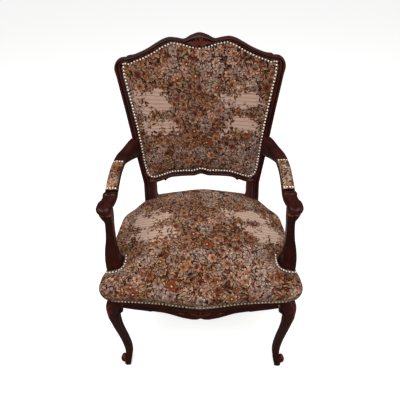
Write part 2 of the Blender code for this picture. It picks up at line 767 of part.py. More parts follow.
def pad(name, rings, centre, under, under_centre, material, collection=None):
    # A stuffed solid between an upper and a lower sheet with equally many points round.
    count = len(rings[0])
    layers = list(reversed(rings)) + under
    points = [p for ring in layers for p in ring] + [centre, under_centre]
    faces = []
    for i in range(len(layers) - 1):
        for j in range(count):
            k = (j + 1) % count
            faces.append((i * count + j, i * count + k, (i + 1) * count + k, (i + 1) * count + j))
    last = (len(layers) - 1) * count
    for j in range(count):
        k = (j + 1) % count
        faces.append((j, k, len(points) - 2))
        faces.append((last + j, last + k, len(points) - 1))
    return add_mesh(name, points, faces, material, collection)


# Nails: low four-sided heads, joined to the cloth that they hold

def nail_points(location, normal):
    normal = normal.normalized()
    across = normal.orthogonal().normalized()
    along = normal.cross(across)
    base = location - normal * CLOTH * 0.45
    ring = []
    for i in range(NAIL_SIDES):
        turn = math.tau * i / NAIL_SIDES
        ring.append(base + (across * math.cos(turn) + along * math.sin(turn)) * NAIL_RADIUS)
    return ring + [base, location + normal * NAIL_HEIGHT]


def nail_heads(name, places):
    points = []
    faces = []
    for location, normal in places:
        start = len(points)
        points += nail_points(location, normal)
        for i in range(NAIL_SIDES):
            k = (i + 1) % NAIL_SIDES
            faces.append((start + i, start + k, start + NAIL_SIDES + 1))
            faces.append((start + k, start + i, start + NAIL_SIDES))
    return hide_cutter(add_mesh(name, points, faces, None, CUTTERS))


def walk(path, pitch, closed=True):
    # Points at an even pitch along a path, the pitch stretched a little to fit.
    path = [Vector(p) for p in path]
    if closed:
        path.append(path[0])
    lengths = [(b - a).length for a, b in zip(path, path[1:])]
    total = sum(lengths)
    count = max(1, round(total / pitch))
    step = total / count
    found = []
    for i in range(count if closed else count + 1):
        at = i * step
        for a, b, length in zip(path, path[1:], lengths):
            if at <= length + 1e-9:
                found.append(a.lerp(b, min(1.0, at / length)))
                break
            at -= length
    return found


def surface_tree(rings, centre):
    points, faces = sheet_mesh(rings, centre)
    return BVHTree.FromPolygons(points, faces)


def on_surface(tree, places, away_from):
    found = []
    for place in places:
        location, normal, index, distance = tree.find_nearest(place)
        if normal.dot(location - away_from) < 0:
            normal = -normal
        found.append((location, normal))
    return found


def seat_nail_places(tree):
    path = [Vector((x, y, NAIL_Z)) for x, y, b, lift in seat_outline()]
    normals = outward(seat_outline())
    path = [p + Vector((n.x, n.y, 0)) * (CLOTH + GAP) for p, n in zip(path, normals)]
    places = []
    for p in walk(path, NAIL_PITCH):
        if p.y < POST_FRONT_Y - 0.008:
            places.append(p)
    for side in (-1, 1):
        x, y, z, half, deep = stump_stations()[0]
        margin = CUT + HEM + 0.001
        inner = x - half - margin
        front = y - deep - margin
        row = [(x + half - 0.004, front), (inner + 0.004, front), (inner, front + 0.006),
               (inner, y + deep - 0.006)]
        for p in walk([(side * px, py) for px, py in row], NAIL_PITCH, closed=False):
            places.append(Vector((p.x, p.y, SEAT_EDGE_Z)))
    return on_surface(tree, places, Vector((0.0, SEAT_CENTRE_Y, 0.36)))


def hessian_rings():
    # Canvas tacked on the rails and lifted flat by the springs inside them.
    rings = []
    low = RAIL_TOP + GAP + HESSIAN
    for f, z in ((0.945, low), (0.80, low + HESSIAN_RISE)):
        rings.append([Vector((x * f, SEAT_CENTRE_Y + (y - SEAT_CENTRE_Y) * f, z))
                      for x, y, b, lift in seat_outline()])
    return rings, Vector((0.0, SEAT_CENTRE_Y, low + HESSIAN_RISE))


def make_seat(cutters):
    rings, centre = seat_surface()
    tree = surface_tree(rings, centre)
    cover = shell("seat_cover", rings, centre, TAPESTRY, CLOTH)
    for cutter in cutters:
        boolean(cover, cutter, "DIFFERENCE")
    boolean(cover, nail_heads("seat nails", seat_nail_places(tree)), "UNION")
    sheet, sheet_centre = hessian_rings()
    hessian = shell("spring_hessian", sheet, sheet_centre, SACKING, HESSIAN)
    for cutter in cutters:
        boolean(hessian, cutter, "DIFFERENCE")
    upper, top = inset_rings(rings, centre, CLOTH + STUFFING_EASE)
    upper = upper[3:]
    edge = []
    for (x, y, b, lift), p in zip(seat_outline(), upper[0]):
        inner_y = SEAT_CENTRE_Y + (y - SEAT_CENTRE_Y) * 0.97
        edge.append(Vector((blend(p.x, x * 0.97, 0.5), blend(p.y, inner_y, 0.5), RAIL_TOP + GAP)))
    rise = Vector((0, 0, 3 * GAP))
    under = [edge] + [[p + rise for p in ring] for ring in sheet]
    stuffing = pad("seat_stuffing", upper, top, under, sheet_centre + rise, STUFFING)
    for cutter in cutters:
        boolean(stuffing, cutter, "DIFFERENCE")


# Springs and webbing

SPRING_PLACES = [(0.0, 0.235), (0.105, 0.150), (-0.105, 0.150), (0.100, 0.320), (-0.100, 0.320)]
WEB_X = (-0.135, -0.045, 0.045, 0.135)
WEB_Y = (0.110, 0.190, 0.270, 0.350)


def make_springs():
    names = ("middle", "front_right", "front_left", "rear_right", "rear_left")
    per_turn = 8
    for name, (x, y) in zip(names, SPRING_PLACES):
        low = RAIL_BOTTOM + WEB_THICK + SPRING_WIRE + GAP
        high = RAIL_TOP + HESSIAN_RISE - SPRING_WIRE
        count = int(SPRING_TURNS * per_turn)
        curve = bpy.data.curves.new("seat_spring_" + name, "CURVE")
        curve.dimensions = "3D"
        curve.bevel_depth = SPRING_WIRE
        curve.bevel_resolution = 2
        curve.use_fill_caps = True
        line = curve.splines.new("POLY")
        line.points.add(count)
        for i in range(count + 1):
            share = i / count
            turn = math.tau * i / per_turn
            waist = 1.0 - 0.30 * math.sin(math.pi * share)
            rise = min(1.0, max(0.0, (share - SPRING_FLAT) / (1 - 2 * SPRING_FLAT)))
            reach = SPRING_RADIUS * waist
            line.points[i].co = (reach * math.cos(turn), reach * math.sin(turn), blend(low, high, rise), 1.0)
        curve.materials.append(STEEL)
        obj = bpy.data.objects.new("seat_spring_" + name, curve)
        CHAIR.objects.link(obj)
        obj.location = (x, y, 0.0)
        obj.parent = ORIGIN


def strap(name, start, end, crossings, over_first, level, wide, material):
    # A flat band that passes over and under the bands it crosses.
    start = Vector(start)
    end = Vector(end)
    along = (end - start).normalized()
    across = Vector((-along.y, along.x, 0.0))
    length = (end - start).length
    stations = [(0.0, 0.0)]
    over = over_first
    for at in crossings:
        weave = (WEB_THICK / 2 + GAP) * (1 if over else -1)
        stations += [(at - wide * 0.45, weave), (at + wide * 0.45, weave)]
        over = not over
    stations.append((length, 0.0))
    rings = []
    for at, weave in stations:
        middle = start + along * at
        ring = []
        for side, up in ((-1, -1), (1, -1), (1, 1), (-1, 1)):
            p = middle + across * side * wide / 2
            ring.append(Vector((p.x, p.y, level + weave + up * WEB_THICK / 2)))
        rings.append(ring)
    return loft(name, rings, material)


def make_webbing():
    # The bands are tacked under the rails and woven in the opening between them.
    level = RAIL_BOTTOM - GAP - WEB_THICK / 2
    rear = REAR_FACE_Y - 0.004
    for i, x in enumerate(WEB_X):
        front = front_y(abs(x) + WEB_WIDTH / 2) + WEB_MARGIN
        over = i % 2 == 0
        strap(f"seat_web_long_{i + 1}", (x, front, 0), (x, rear, 0), [y - front for y in WEB_Y],
              over, level, WEB_WIDTH * 0.96, JUTE)
    for i, y in enumerate(WEB_Y):
        half = min(side_x(y - WEB_WIDTH / 2), side_x(y), side_x(y + WEB_WIDTH / 2)) - WEB_MARGIN
        over = i % 2 == 1
        strap(f"seat_web_cross_{i + 1}", (-half, y, 0), (half, y, 0), [x + half for x in WEB_X],
              over, level, WEB_WIDTH * 0.96, JUTE)


# Corner blocks glued and screwed into the seat frame

def block_side(y_from, y_to):
    # The side rail bends at these places between the two, so a block beside it bends there too.
    return [y_from] + [y for x, y in SIDE_LINE if y_from < y < y_to] + [y_to]


def make_corner_blocks():
    z_low = RAIL_TOP - 0.008 - BLOCK_THICK
    clear = RAIL_THICK + 2 * GAP
    front_from = JOINT_X - BLOCK_LEG * 0.5
    front_x = [front_from] + [x for x, y in FRONT_LINE if front_from < x < JOINT_X]
    front_side_y = block_side(JOINT_Y + GAP, JOINT_Y + BLOCK_LEG * 0.5)
    inner_front = [(x, front_y(x) + clear) for x in front_x]
    inner_front += [(JOINT_X - GAP, front_y(JOINT_X) + clear), (JOINT_X - GAP, JOINT_Y + GAP)]
    inner_front += [(side_x(y) - clear, y) for y in front_side_y]
    y_rear = POST_FRONT_Y + 0.003 - 2 * GAP
    post_in = between(POST_INNER, 0.40) - 2 * GAP
    y_side = POST_FRONT_Y - BLOCK_LEG
    inner_rear = [(post_in - BLOCK_LEG * 0.5, y_rear), (post_in, y_rear), (post_in, POST_FRONT_Y - GAP)]
    inner_rear += [(side_x(y) - clear, y) for y in reversed(block_side(y_side, POST_FRONT_Y - 0.002))]
    made = {}
    for place, plan in (("front", inner_front), ("rear", inner_rear)):
        for name, side in (("left", -1), ("right", 1)):
            rings = [[Vector((side * x, y, z)) for x, y in plan] for z in (z_low, z_low + BLOCK_THICK)]
            block = loft(f"corner_block_{place}_{name}", rings, BEECH)
            made[place, name] = (block, plan, side, z_low + BLOCK_THICK / 2)
    return made


def make_screws(blocks, targets):
    # Two screws a block, square to its long inner face and on into the rails.
    for (place, name), (block, plan, side, z) in blocks.items():
        a = Vector(plan[0])
        b = Vector(plan[-1])
        to_rail = (-0.25, -1.0) if place == "front" else (-0.35, 1.0)
        for i, (share, aim) in enumerate(((0.18, to_rail), (0.75, (1.0, 0.25)))):
            p = a.lerp(b, share)
            direction = Vector(aim).normalized()
            start = p + direction * 0.0025
            screw = cone_screw(f"block_screw_{place}_{name}_{i + 1}", start, direction, z, side, 0.0)
            hole = cone_screw(f"hole {place} {name} {i + 1}", start, direction, z, side, GAP)
            hide_cutter(hole)
            CHAIR.objects.unlink(hole)
            CUTTERS.objects.link(hole)
            boolean(block, hole, "DIFFERENCE")
            for target in targets(place, name, share):
                boolean(target, hole, "DIFFERENCE")


def cone_screw(name, start, direction, z, side, grow):
    profile = [(-0.0024 - grow, 0.0038 + grow), (0.0004, SCREW_RADIUS + grow),
               (SCREW_LENGTH * 0.8, SCREW_RADIUS + grow), (SCREW_LENGTH + grow, 0.0006 + grow)]
    across = Vector((-direction.y, direction.x))
    rings = []
    for at, radius in profile:
        ring = []
        for i in range(6):
            turn = math.tau * i / 6
            p = start + direction * at + across * radius * math.cos(turn)
            ring.append(Vector((side * p.x, p.y, z + radius * math.sin(turn))))
        rings.append(ring)
    return loft(name, rings, STEEL)


# Back: webbing, canvas, stuffing and covers

def back_rings(levels, hem):
    # Rings drawn in from an outline on the back, each at its own depth from the nail plane.
    centre_z = (NAIL_LINE[0][1] + NAIL_LINE[-1][1]) / 2
    rings = []
    for f, n in levels:
        spots = [(x * f, centre_z + (z - centre_z) * f) for x, z in hem]
        rings.append([Vector((x, back_y(x, z) + n, z)) for x, z in spots])
    return rings, centre_z


def hem_clearance():
    # Trims the mouldings of the back frame a little outside the hem of the front cover.
    outline = offset(BACK_HEM, 0.0005)
    (front,), centre_z = back_rings([(1.0, -2 * BACK_FRONT)], outline)
    under, _ = back_rings([(1.0, REBATE - GAP / 2), (0.85, REBATE - GAP / 2)], outline)
    middle = back_y(0, centre_z)
    return hide_cutter(pad("hem clearance", [front], Vector((0.0, middle - 2 * BACK_FRONT, centre_z)), under,
                           Vector((0.0, middle + REBATE, centre_z)), None, CUTTERS))


def make_back(frame):
    clearance = hem_clearance()
    for piece in frame:
        boolean(piece, clearance, "DIFFERENCE")
    edge = REBATE - GAP - CLOTH
    levels = [(1.0, edge), (0.955, edge - 0.0005), (0.90, -BACK_CROWN * 0.42), (0.72, -BACK_CROWN * 0.80),
              (0.38, -BACK_CROWN * 0.97)]
    rings, centre_z = back_rings(levels, BACK_HEM)
    centre = Vector((0.0, back_y(0, centre_z) - BACK_CROWN, centre_z))
    tree = surface_tree(rings, centre)
    cover = shell("back_front_cover", rings, centre, TAPESTRY, CLOTH)
    path = [Vector((x, back_y(x, z) + edge, z)) for x, z in BACK_NAILS]
    places = on_surface(tree, walk(path, NAIL_PITCH), Vector((0.0, 2.0, centre_z)))
    boolean(cover, nail_heads("back nails", places), "UNION")

    canvas_n = REBATE - GAP - HESSIAN
    canvas, _ = back_rings([(0.94, canvas_n), (0.5, canvas_n)], BACK_NAILS)
    canvas_centre = Vector((0.0, back_y(0, centre_z) + canvas_n, centre_z))
    shell("back_canvas", canvas, canvas_centre, SACKING, HESSIAN)

    upper, top = inset_rings(rings, centre, CLOTH + GAP)
    lift = Vector((0, -GAP, 0))
    first = [a.lerp(b, 0.30) + lift for a, b in zip(canvas[0], canvas[1])]
    under = [[p + lift for p in canvas[0]], first, [p + lift for p in canvas[1]]]
    pad("back_stuffing", upper[2:], top, under, canvas_centre + lift, STUFFING)

    rear_n = BACK_REAR + GAP + CLOTH
    rear, _ = back_rings([(0.985, rear_n), (0.55, rear_n + 0.002)], BACK_NAILS)
    rear_centre = Vector((0.0, back_y(0, centre_z) + rear_n + 0.003, centre_z))
    points, faces = sheet_mesh(rear, rear_centre)
    obj = add_mesh("back_rear_cover", points, faces, TAPESTRY)
    if sum(f.normal.y * f.area for f in obj.data.polygons) < 0:
        obj.data.flip_normals()
    solid = obj.modifiers.new("thickness", "SOLIDIFY")
    solid.thickness = CLOTH
    solid.offset = -1.0


# Arm pads: a low stuffed mound on the flat of each arm, with its cover nailed at both ends

def pad_stations():
    middle = (PAD_FRONT_Y + PAD_REAR_Y) / 2
    return [(PAD_FRONT_Y, 0.25), (PAD_FRONT_Y + 0.009, 0.45), (PAD_FRONT_Y + 0.022, 0.85),
            (middle - 0.02, 1.0), (middle + 0.02, 1.0), (PAD_REAR_Y - 0.022, 0.85),
            (PAD_REAR_Y - 0.009, 0.45), (PAD_REAR_Y, 0.25)]


PAD_SECTION = [(-1.0, 0.0), (-0.98, 0.35), (-0.80, 0.72), (-0.42, 0.95), (0.0, 1.0), (0.42, 0.95),
               (0.80, 0.72), (0.98, 0.35), (1.0, 0.0)]


def arm_at(y):
    stations = sorted(arm_stations(), key=lambda s: s[1])
    x = between([(s[1], s[0]) for s in stations], y)
    half = between([(s[1], s[2]) for s in stations], y)
    lift = between([(s[1], s[3]) for s in stations], y)
    thick = between([(s[1], s[4]) for s in stations], y)
    return x, half, ARM_HEIGHT + lift + 0.55 * ARM_THICK / 2 * thick


def pad_ring(y, share, depth):
    x, half, flat = arm_at(y)
    base = flat + GAP + 0.0007
    ring = []
    for u, v in PAD_SECTION:
        ring.append(Vector((x + u * (half - PAD_MARGIN - depth), y, base + v * (PAD_RISE * share - depth))))
    return ring


def make_arm_pads():
    for name, side in (("left", -1), ("right", 1)):
        outer = [pad_ring(y, share, 0.0) for y, share in pad_stations()]
        inner = [pad_ring(y, share, CLOTH) for y, share in pad_stations()]
        rings = [a + list(reversed(b)) for a, b in zip(outer, inner)]
        cover = loft("arm_pad_cover_" + name, mirrored(rings, side), TAPESTRY)
        places = []
        points = [p for ring in mirrored(outer, side) for p in ring]
        count = len(PAD_SECTION)
        faces = [(i * count + j, i * count + j + 1, (i + 1) * count + j + 1, (i + 1) * count + j)
                 for i in range(len(outer) - 1) for j in range(count - 1)]
        tree = BVHTree.FromPolygons(points, faces)
        for y in (PAD_FRONT_Y + HEM, PAD_REAR_Y - HEM):
            x, half, flat = arm_at(y)
            for u in (-0.72, -0.24, 0.24, 0.72):
                places.append(Vector((side * (x + u * half), y, flat + 0.02)))
        under = Vector((side * ARM_SPREAD, (PAD_FRONT_Y + PAD_REAR_Y) / 2, ARM_HEIGHT - 0.05))
        boolean(cover, nail_heads("pad nails " + name, on_surface(tree, places, under)), "UNION")
        solid = []
        for y, share in pad_stations()[1:-1]:
            solid.append(pad_ring(y, share, CLOTH + 3 * GAP))
        loft("arm_pad_" + name, mirrored(solid, side), STUFFING)


def join_frame(front, sides, rear, legs, posts, crest, lower, arms, stumps):
    rail_z = (RAIL_TOP + RAIL_BOTTOM) / 2 + 0.004
    for index, side in ((0, -1), (1, 1)):
        y = front_y(JOINT_X) + RAIL_THICK / 2
        tenon(front, legs[index], (side * JOINT_X, y, rail_z), (TENON, 0.005, 0.016))
        x = side_x(JOINT_Y) - RAIL_THICK / 2
        tenon(sides[index], legs[index], (side * x, JOINT_Y, rail_z), (0.005, 0.012, 0.016))
        x = side_x(POST_FRONT_Y) - RAIL_THICK / 2
        tenon(sides[index], posts[index], (side * x, POST_FRONT_Y, rail_z), (0.005, 0.012, 0.016))
        x = between(POST_INNER, 0.40)
        tenon(rear, posts[index], (side * x, REAR_FACE_Y - 0.008, rail_z), (0.012, 0.004, 0.016))
        z = (LOWER_OUTER[0][1] + LOWER_INNER[0][1]) / 2
        x = (LOWER_OUTER[0][0] + LOWER_INNER[0][0]) / 2
        tenon(lower, posts[index], (side * x, back_y(x, z) + 0.010, z), (TENON, 0.004, 0.010))
        z = (CREST_OUTER[0][1] + CREST_INNER[0][1]) / 2
        x = (CREST_OUTER[0][0] + CREST_INNER[0][0]) / 2
        tenon(crest, posts[index], (side * x, back_y(x, z) + 0.010, z), (0.012, 0.004, 0.010))
        x, y, z, half, deep = stump_stations()[0]
        tenon(stumps[index], sides[index], (side * x, y, z), (0.006, 0.014, TENON))
        x, y, z, half, deep = stump_stations()[-1]
        tenon(stumps[index], arms[index], (side * x, y, z), (0.006, 0.006, 0.010))
        x, y = arm_stations()[0][:2]
        tenon(arms[index], posts[index], (side * x, y, ARM_HEIGHT + 0.010), (0.006, 0.014, 0.006))


def make_chair():
    front = make_front_rail()
    sides = make_side_rails()
    rear = make_rear_rail()
    legs = make_front_legs()
    posts = make_posts()
    crest = member("crest_rail", CREST_OUTER, CREST_INNER, GAP)
    lower = member("back_lower_rail", LOWER_OUTER, LOWER_INNER, GAP)
    arms = make_arms()
    stumps = make_stumps()
    carve_crest(crest)
    carve_apron(front)
    join_frame(front, sides, rear, legs, posts, crest, lower, arms, stumps)
    blocks = make_corner_blocks()

    def targets(place, name, share):
        rail = front if place == "front" else rear
        return [rail if share < 0.5 else sides[0 if name == "left" else 1]]

    make_screws(blocks, targets)
    make_seat(seat_cutters())
    make_springs()
    make_webbing()
    make_back([*posts, crest, lower])
    make_arm_pads()


make_chair()
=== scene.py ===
import math
import random
from functools import partial

import bmesh
import bpy
from mathutils import Matrix, Vector
from mathutils.bvhtree import BVHTree


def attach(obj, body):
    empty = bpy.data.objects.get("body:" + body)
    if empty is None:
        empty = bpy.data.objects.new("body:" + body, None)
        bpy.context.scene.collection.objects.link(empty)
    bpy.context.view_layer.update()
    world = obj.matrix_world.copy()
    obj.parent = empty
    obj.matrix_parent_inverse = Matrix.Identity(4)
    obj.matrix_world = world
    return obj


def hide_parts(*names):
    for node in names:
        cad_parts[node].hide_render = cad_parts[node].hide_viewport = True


# an open armchair: carved mahogany frame, domed sprung seat, stuffed back and arm pads in flowered tapestry

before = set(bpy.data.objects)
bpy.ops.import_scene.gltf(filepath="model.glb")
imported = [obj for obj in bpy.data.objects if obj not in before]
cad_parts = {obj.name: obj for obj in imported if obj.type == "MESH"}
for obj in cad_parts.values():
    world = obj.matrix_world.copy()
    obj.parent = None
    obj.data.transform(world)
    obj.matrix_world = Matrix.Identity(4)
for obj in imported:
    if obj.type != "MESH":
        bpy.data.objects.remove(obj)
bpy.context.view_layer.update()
scene = bpy.context.scene

footLine = 0.325  # every y below is measured from the front feet, this far in front of the frame's origin
jointGap = 0.0003
mergeReach = 0.00005  # closer points than this are one point
clothThick = 0.0015


def newObject(name, mesh, material):
    if material:
        mesh.materials.append(material)
    mesh.shade_smooth()
    obj = bpy.data.objects.new(name, mesh)
    scene.collection.objects.link(obj)
    return obj


def newPiece(name, points, faces, material, merged=False):
    mesh = bpy.data.meshes.new(name)
    mesh.from_pydata([(p[0], p[1] - footLine, p[2]) for p in points], [], faces)
    shape = bmesh.new()
    shape.from_mesh(mesh)
    if merged:
        bmesh.ops.remove_doubles(shape, verts=shape.verts, dist=mergeReach)
    bmesh.ops.recalc_face_normals(shape, faces=shape.faces)
    shape.to_mesh(mesh)
    shape.free()
    return newObject(name, mesh, material)


def bakeModifiers(obj):
    # the finished mesh takes the place of the cage and its modifiers
    graph = bpy.context.evaluated_depsgraph_get()
    mesh = bpy.data.meshes.new_from_object(obj.evaluated_get(graph))
    old = obj.data
    obj.modifiers.clear()
    obj.data = mesh
    bpy.data.meshes.remove(old)
    mesh.name = obj.name
    mesh.shade_smooth()
    return obj


def between(table, at):
    # the value at a place in a table of (place, value), straight between its rows
    if at <= table[0][0]:
        return table[0][1]
    for (a, va), (b, vb) in zip(table, table[1:]):
        if at <= b:
            return va + (vb - va) * (at - a) / (b - a)
    return table[-1][1]


def blend(a, b, t):
    return a + (b - a) * t


def smoothStep(t):
    t = min(1.0, max(0.0, t))
    return t * t * (3 - 2 * t)


def curveThrough(points, steps, closed=False):
    # a smooth line through points of any length, held close to the short spans beside long ones
    points = [Vector(p) for p in points]
    count = len(points)
    slopes = []
    for i, here in enumerate(points):
        before = points[i - 1] if closed or i else here
        after = points[(i + 1) % count] if closed or i < count - 1 else here
        slope = (after - before) / 2
        reach = min((here - before).length, (after - here).length)
        slopes.append(slope * min(1.0, reach / max(1e-9, slope.length)))
    line = []
    for i in range(count if closed else count - 1):
        a, b, m, n = points[i], points[(i + 1) % count], slopes[i], slopes[(i + 1) % count]
        for s in range(steps):
            u = s / steps
            line.append(a * (2 * u ** 3 - 3 * u * u + 1) + b * (3 * u * u - 2 * u ** 3)
                        + m * (u ** 3 - 2 * u * u + u) + n * (u ** 3 - u * u))
    if not closed:
        line.append(points[-1])
    return line


def refineRings(rings, steps):
    # more cross-sections along a member, on smooth lines through the given ones
    lines = [curveThrough([ring[j] for ring in rings], steps) for j in range(len(rings[0]))]
    return [[line[i] for line in lines] for i in range(len(lines[0]))]


def refineAround(rings, steps):
    return [curveThrough(ring, steps, closed=True) for ring in rings]


def mirrored(rings, side):
    return [[Vector((side * p.x, p.y, p.z)) for p in ring] for ring in rings]


def loftParts(rings, capped=False):
    count = len(rings[0])
    points = [p for ring in rings for p in ring]
    faces = [(i * count + j, i * count + (j + 1) % count, (i + 1) * count + (j + 1) % count, (i + 1) * count + j)
             for i in range(len(rings) - 1) for j in range(count)]
    if capped:
        faces += [tuple(range(count)), tuple(range((len(rings) - 1) * count, len(points)))]
    return points, faces


def markRelief(obj):
    # how far each point stands out of its surroundings, for ridges made lighter (wear and painted highlight) and
    # grooves made darker (dirt and painted shade)
    shape = bmesh.new()
    shape.from_mesh(obj.data)
    shape.normal_update()
    relief = []
    for v in shape.verts:
        total = 0.0
        for e in v.link_edges:
            d = v.co - e.other_vert(v).co
            total += v.normal.dot(d) / max(1e-6, d.length)
        relief.append(total / max(1, len(v.link_edges)))
    near = []
    for v in shape.verts:
        ring = [relief[e.other_vert(v).index] for e in v.link_edges]
        near.append(0.5 * relief[v.index] + 0.5 * sum(ring) / max(1, len(ring)))
    shape.free()
    attribute = obj.data.attributes.new("relief", "FLOAT", "POINT")
    attribute.data.foreach_set("value", [0.5 + max(-0.5, min(0.5, r * 1.6)) for r in near])
    return obj


def woodPiece(name, rings, material, along=3, around=3):
    rings = refineAround(refineRings(rings, along), around)
    return markRelief(newPiece(name, *loftParts(rings, capped=True), material))


def rideAs(obj, slotName, *nodes):
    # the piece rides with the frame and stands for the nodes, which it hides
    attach(obj, "root")
    if nodes:
        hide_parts(*nodes)
    return obj


def linear(code):
    # an sRGB hex colour as linear RGBA
    parts = [int(code[i:i + 2], 16) / 255 for i in (1, 3, 5)]
    return (*(v / 12.92 if v <= 0.04045 else ((v + 0.055) / 1.055) ** 2.4 for v in parts), 1.0)


def feed(node, inputs):
    # each input in use, by its number or name, gets a link or a plain value
    ready = [socket for socket in node.inputs if socket.enabled]
    for key, value in inputs.items():
        socket = ready[key] if isinstance(key, int) else next(s for s in ready if s.name == key.replace("_", " "))
        if isinstance(value, bpy.types.NodeSocket):
            node.id_data.links.new(value, socket)
        else:
            socket.default_value = value


def addNode(tree, kind, *inputs, output=None, **more):
    # settings start with a small letter, inputs come in order or by name; gives the first output in use
    node = tree.nodes.new(kind)
    for key in [key for key in more if key[0].islower()]:
        setattr(node, key, more.pop(key))
    feed(node, {**dict(enumerate(inputs)), **more})
    return next(s for s in node.outputs if s.enabled) if output is None else node.outputs[output]


def newMaterial(name):
    material = bpy.data.materials.new(name)
    material.use_nodes = True
    tree = material.node_tree
    return material, tree.nodes["Principled BSDF"], partial(addNode, tree)


def tintWhere(add, colour, value, low, high, tint, strength=1.0):
    # the colour turns to the tint as the value goes from low to high
    share = add("ShaderNodeMapRange", value, low, high, 0.0, strength, interpolation_type="SMOOTHSTEP")
    return add("ShaderNodeMix", share, colour, tint, data_type="RGBA")


# stained mahogany under satin lacquer: dark red-brown, soft highlights, lighter on ridges (wear and painted
# highlight), darker in grooves (dirt and painted shade)
mahogany = {"dark": "#1f0906", "red": "#40140d", "wornAndHighlit": "#74301f", "dirtAndShade": "#0d0403", "smooth": 0.26, "dull": 0.40}


def lacqueredMahogany(name, grain):
    material, shader, add = newMaterial(name)
    place = add("ShaderNodeTexCoord", output="Object")
    fibres = add("ShaderNodeTexNoise", add("ShaderNodeMapping", place, Scale=grain), Scale=1.0, Detail=4.0,
                 Roughness=0.6)
    clouds = add("ShaderNodeTexNoise", place, Scale=14.0, Detail=3.0)
    relief = add("ShaderNodeAttribute", attribute_name="relief", output="Fac")
    tone = add("ShaderNodeMix", 0.4, fibres, clouds)
    colour = tintWhere(add, linear(mahogany["dark"]), tone, 0.38, 0.62, linear(mahogany["red"]))
    # ridges turn lighter, partly wear and partly painted highlight; grooves turn darker, partly dirt and partly
    # painted shade
    colour = tintWhere(add, colour, relief, 0.58, 0.95, linear(mahogany["wornAndHighlit"]))
    colour = tintWhere(add, colour, relief, 0.46, 0.28, linear(mahogany["dirtAndShade"]))
    rough = add("ShaderNodeMapRange", clouds, 0.3, 0.7, mahogany["smooth"], mahogany["dull"])
    feed(shader, {"Base Color": colour, "Roughness": rough, "Specular IOR Level": 0.22,
                  "Normal": add("ShaderNodeBump", Strength=0.18, Distance=0.0004, Height=fibres)})
    return material


# fibres to the metre each way: about 1 mm across and 40 mm long, coarser than real ones so that they show
mahoganyUp = lacqueredMahogany("lacquered mahogany, upright", (900, 900, 25))
mahoganyAcross = lacqueredMahogany("lacquered mahogany, across", (25, 900, 900))
mahoganyDeep = lacqueredMahogany("lacquered mahogany, front to back", (900, 25, 900))


# sawn beech left bare inside the seat: pale tan, with darker flecks 2 mm wide and 17 mm long
def sawnBeech():
    material, shader, add = newMaterial("sawn beech")
    place = add("ShaderNodeMapping", add("ShaderNodeTexCoord", output="Object"), Scale=(60, 500, 500))
    flecks = add("ShaderNodeTexNoise", place, Scale=1.0, Detail=5.0)
    feed(shader, {"Base Color": tintWhere(add, linear("#a98a64"), flecks, 0.40, 0.64, linear("#7d5f42")),
                  "Roughness": 0.72,
                  "Normal": add("ShaderNodeBump", Strength=0.3, Distance=0.0004, Height=flecks)})
    return material


# jute and cotton woven from coarse yarns, their spacing in millimetres, matt and a little dusty, with painted shade
# between the yarns
def wovenYarn(name, spacing, light, dark):
    material, shader, add = newMaterial(name)
    place = add("ShaderNodeTexCoord", output="Object")
    warp, weft = (add("ShaderNodeTexWave", place, Scale=1000.0 / spacing / 20, Distortion=0.6, Detail=1.0,
                      bands_direction=way, output=1) for way in "XY")
    weave = add("ShaderNodeMath", warp, weft, operation="MULTIPLY")
    dust = add("ShaderNodeTexNoise", place, Scale=60.0, Detail=4.0)
    # darker between the yarns: painted shade, mixed with dusty patches
    weaveShadeAndDust = add("ShaderNodeMath", weave, 0.6, add("ShaderNodeMath", dust, 0.5, operation="MULTIPLY"),
                operation="MULTIPLY_ADD")
    feed(shader, {"Base Color": tintWhere(add, linear(dark), weaveShadeAndDust, 0.15, 0.70, linear(light)), "Roughness": 0.95,
                  "Normal": add("ShaderNodeBump", Strength=0.6, Distance=0.0008, Height=weave)})
    return material


# hard drawn steel wire, oxidised grey with 5 mm brown spots
def springSteel():
    material, shader, add = newMaterial("oxidised spring steel")
    spots = add("ShaderNodeTexNoise", add("ShaderNodeTexCoord", output="Object"), Scale=220.0, Detail=3.0)
    feed(shader, {"Base Color": tintWhere(add, linear("#8b8680"), spots, 0.45, 0.65, linear("#5b4a3e")),
                  "Metallic": 1.0, "Roughness": 0.45})
    return material


# domed brass heads, painted cream for their highlight and reflection, and brown towards the rim for their shade
def brassWithPaintedLight(name, code):
    material, shader, add = newMaterial(name)
    # the colour turns brown where the head faces away from the view: painted shade round a painted highlight
    rim = add("ShaderNodeLayerWeight", Blend=0.5, output="Facing")
    feed(shader, {"Base Color": tintWhere(add, linear(code), rim, 0.15, 0.52, linear("#2e190e")), "Metallic": 0.1,
                  "Roughness": 0.25})
    return material


# the tapestry's layers of motifs from the bottom up: cell in millimetres, shape, and share of cells filled
tapestry = {
    "leaves": ((7.5, 0.72, 0.30, 1.0), (12.0, 0.66, 0.20, 0.90), (17.0, 0.68, 0.15, 0.85),
               (15.0, 0.62, 0.17, 0.70)),
    "flowers": ((19.0, 5, 0.46, 0.40), (31.0, 6, 0.50, 0.70), (44.0, 8, 0.42, 0.60)),
    "topLeaves": ((17.0, 0.64, 0.15, 0.58), (23.0, 0.62, 0.13, 0.62)),
    "rustLeaf": ("#86441d", "#a3642c", "#572914", "#93683f", "#c08c58", "#733717"),
    "roseLeaf": ("#c4967c", "#a87a60", "#70452f", "#dcb89c", "#8c4c30", "#a88270"),
    "rustFlower": ("#84411c", "#8f5c26", "#733416", "#a66e3e", "#84462a", "#8a5024"),
    "roseFlower": ("#bd8a70", "#a08e84", "#98807a", "#cca084", "#b07c62", "#ad998a"),
    "dark": "#100808", "leafLight": "#e0cbb4", "vein": "#3a241b", "petalEdge": "#e2cfba", "petalShade": "#3c1a10",
    "paleMiddle": "#e0c8ac", "darkMiddle": "#34170d", "glade": "#ccb5a6", "ripple": "#8f6c58", "gap": "#120b08",
    "thread": 1.4,  # spacing in millimetres, coarser than the real 0.7 so that it shows
}
yarns = {name: linear(code) for name, code in tapestry.items() if isinstance(code, str)}


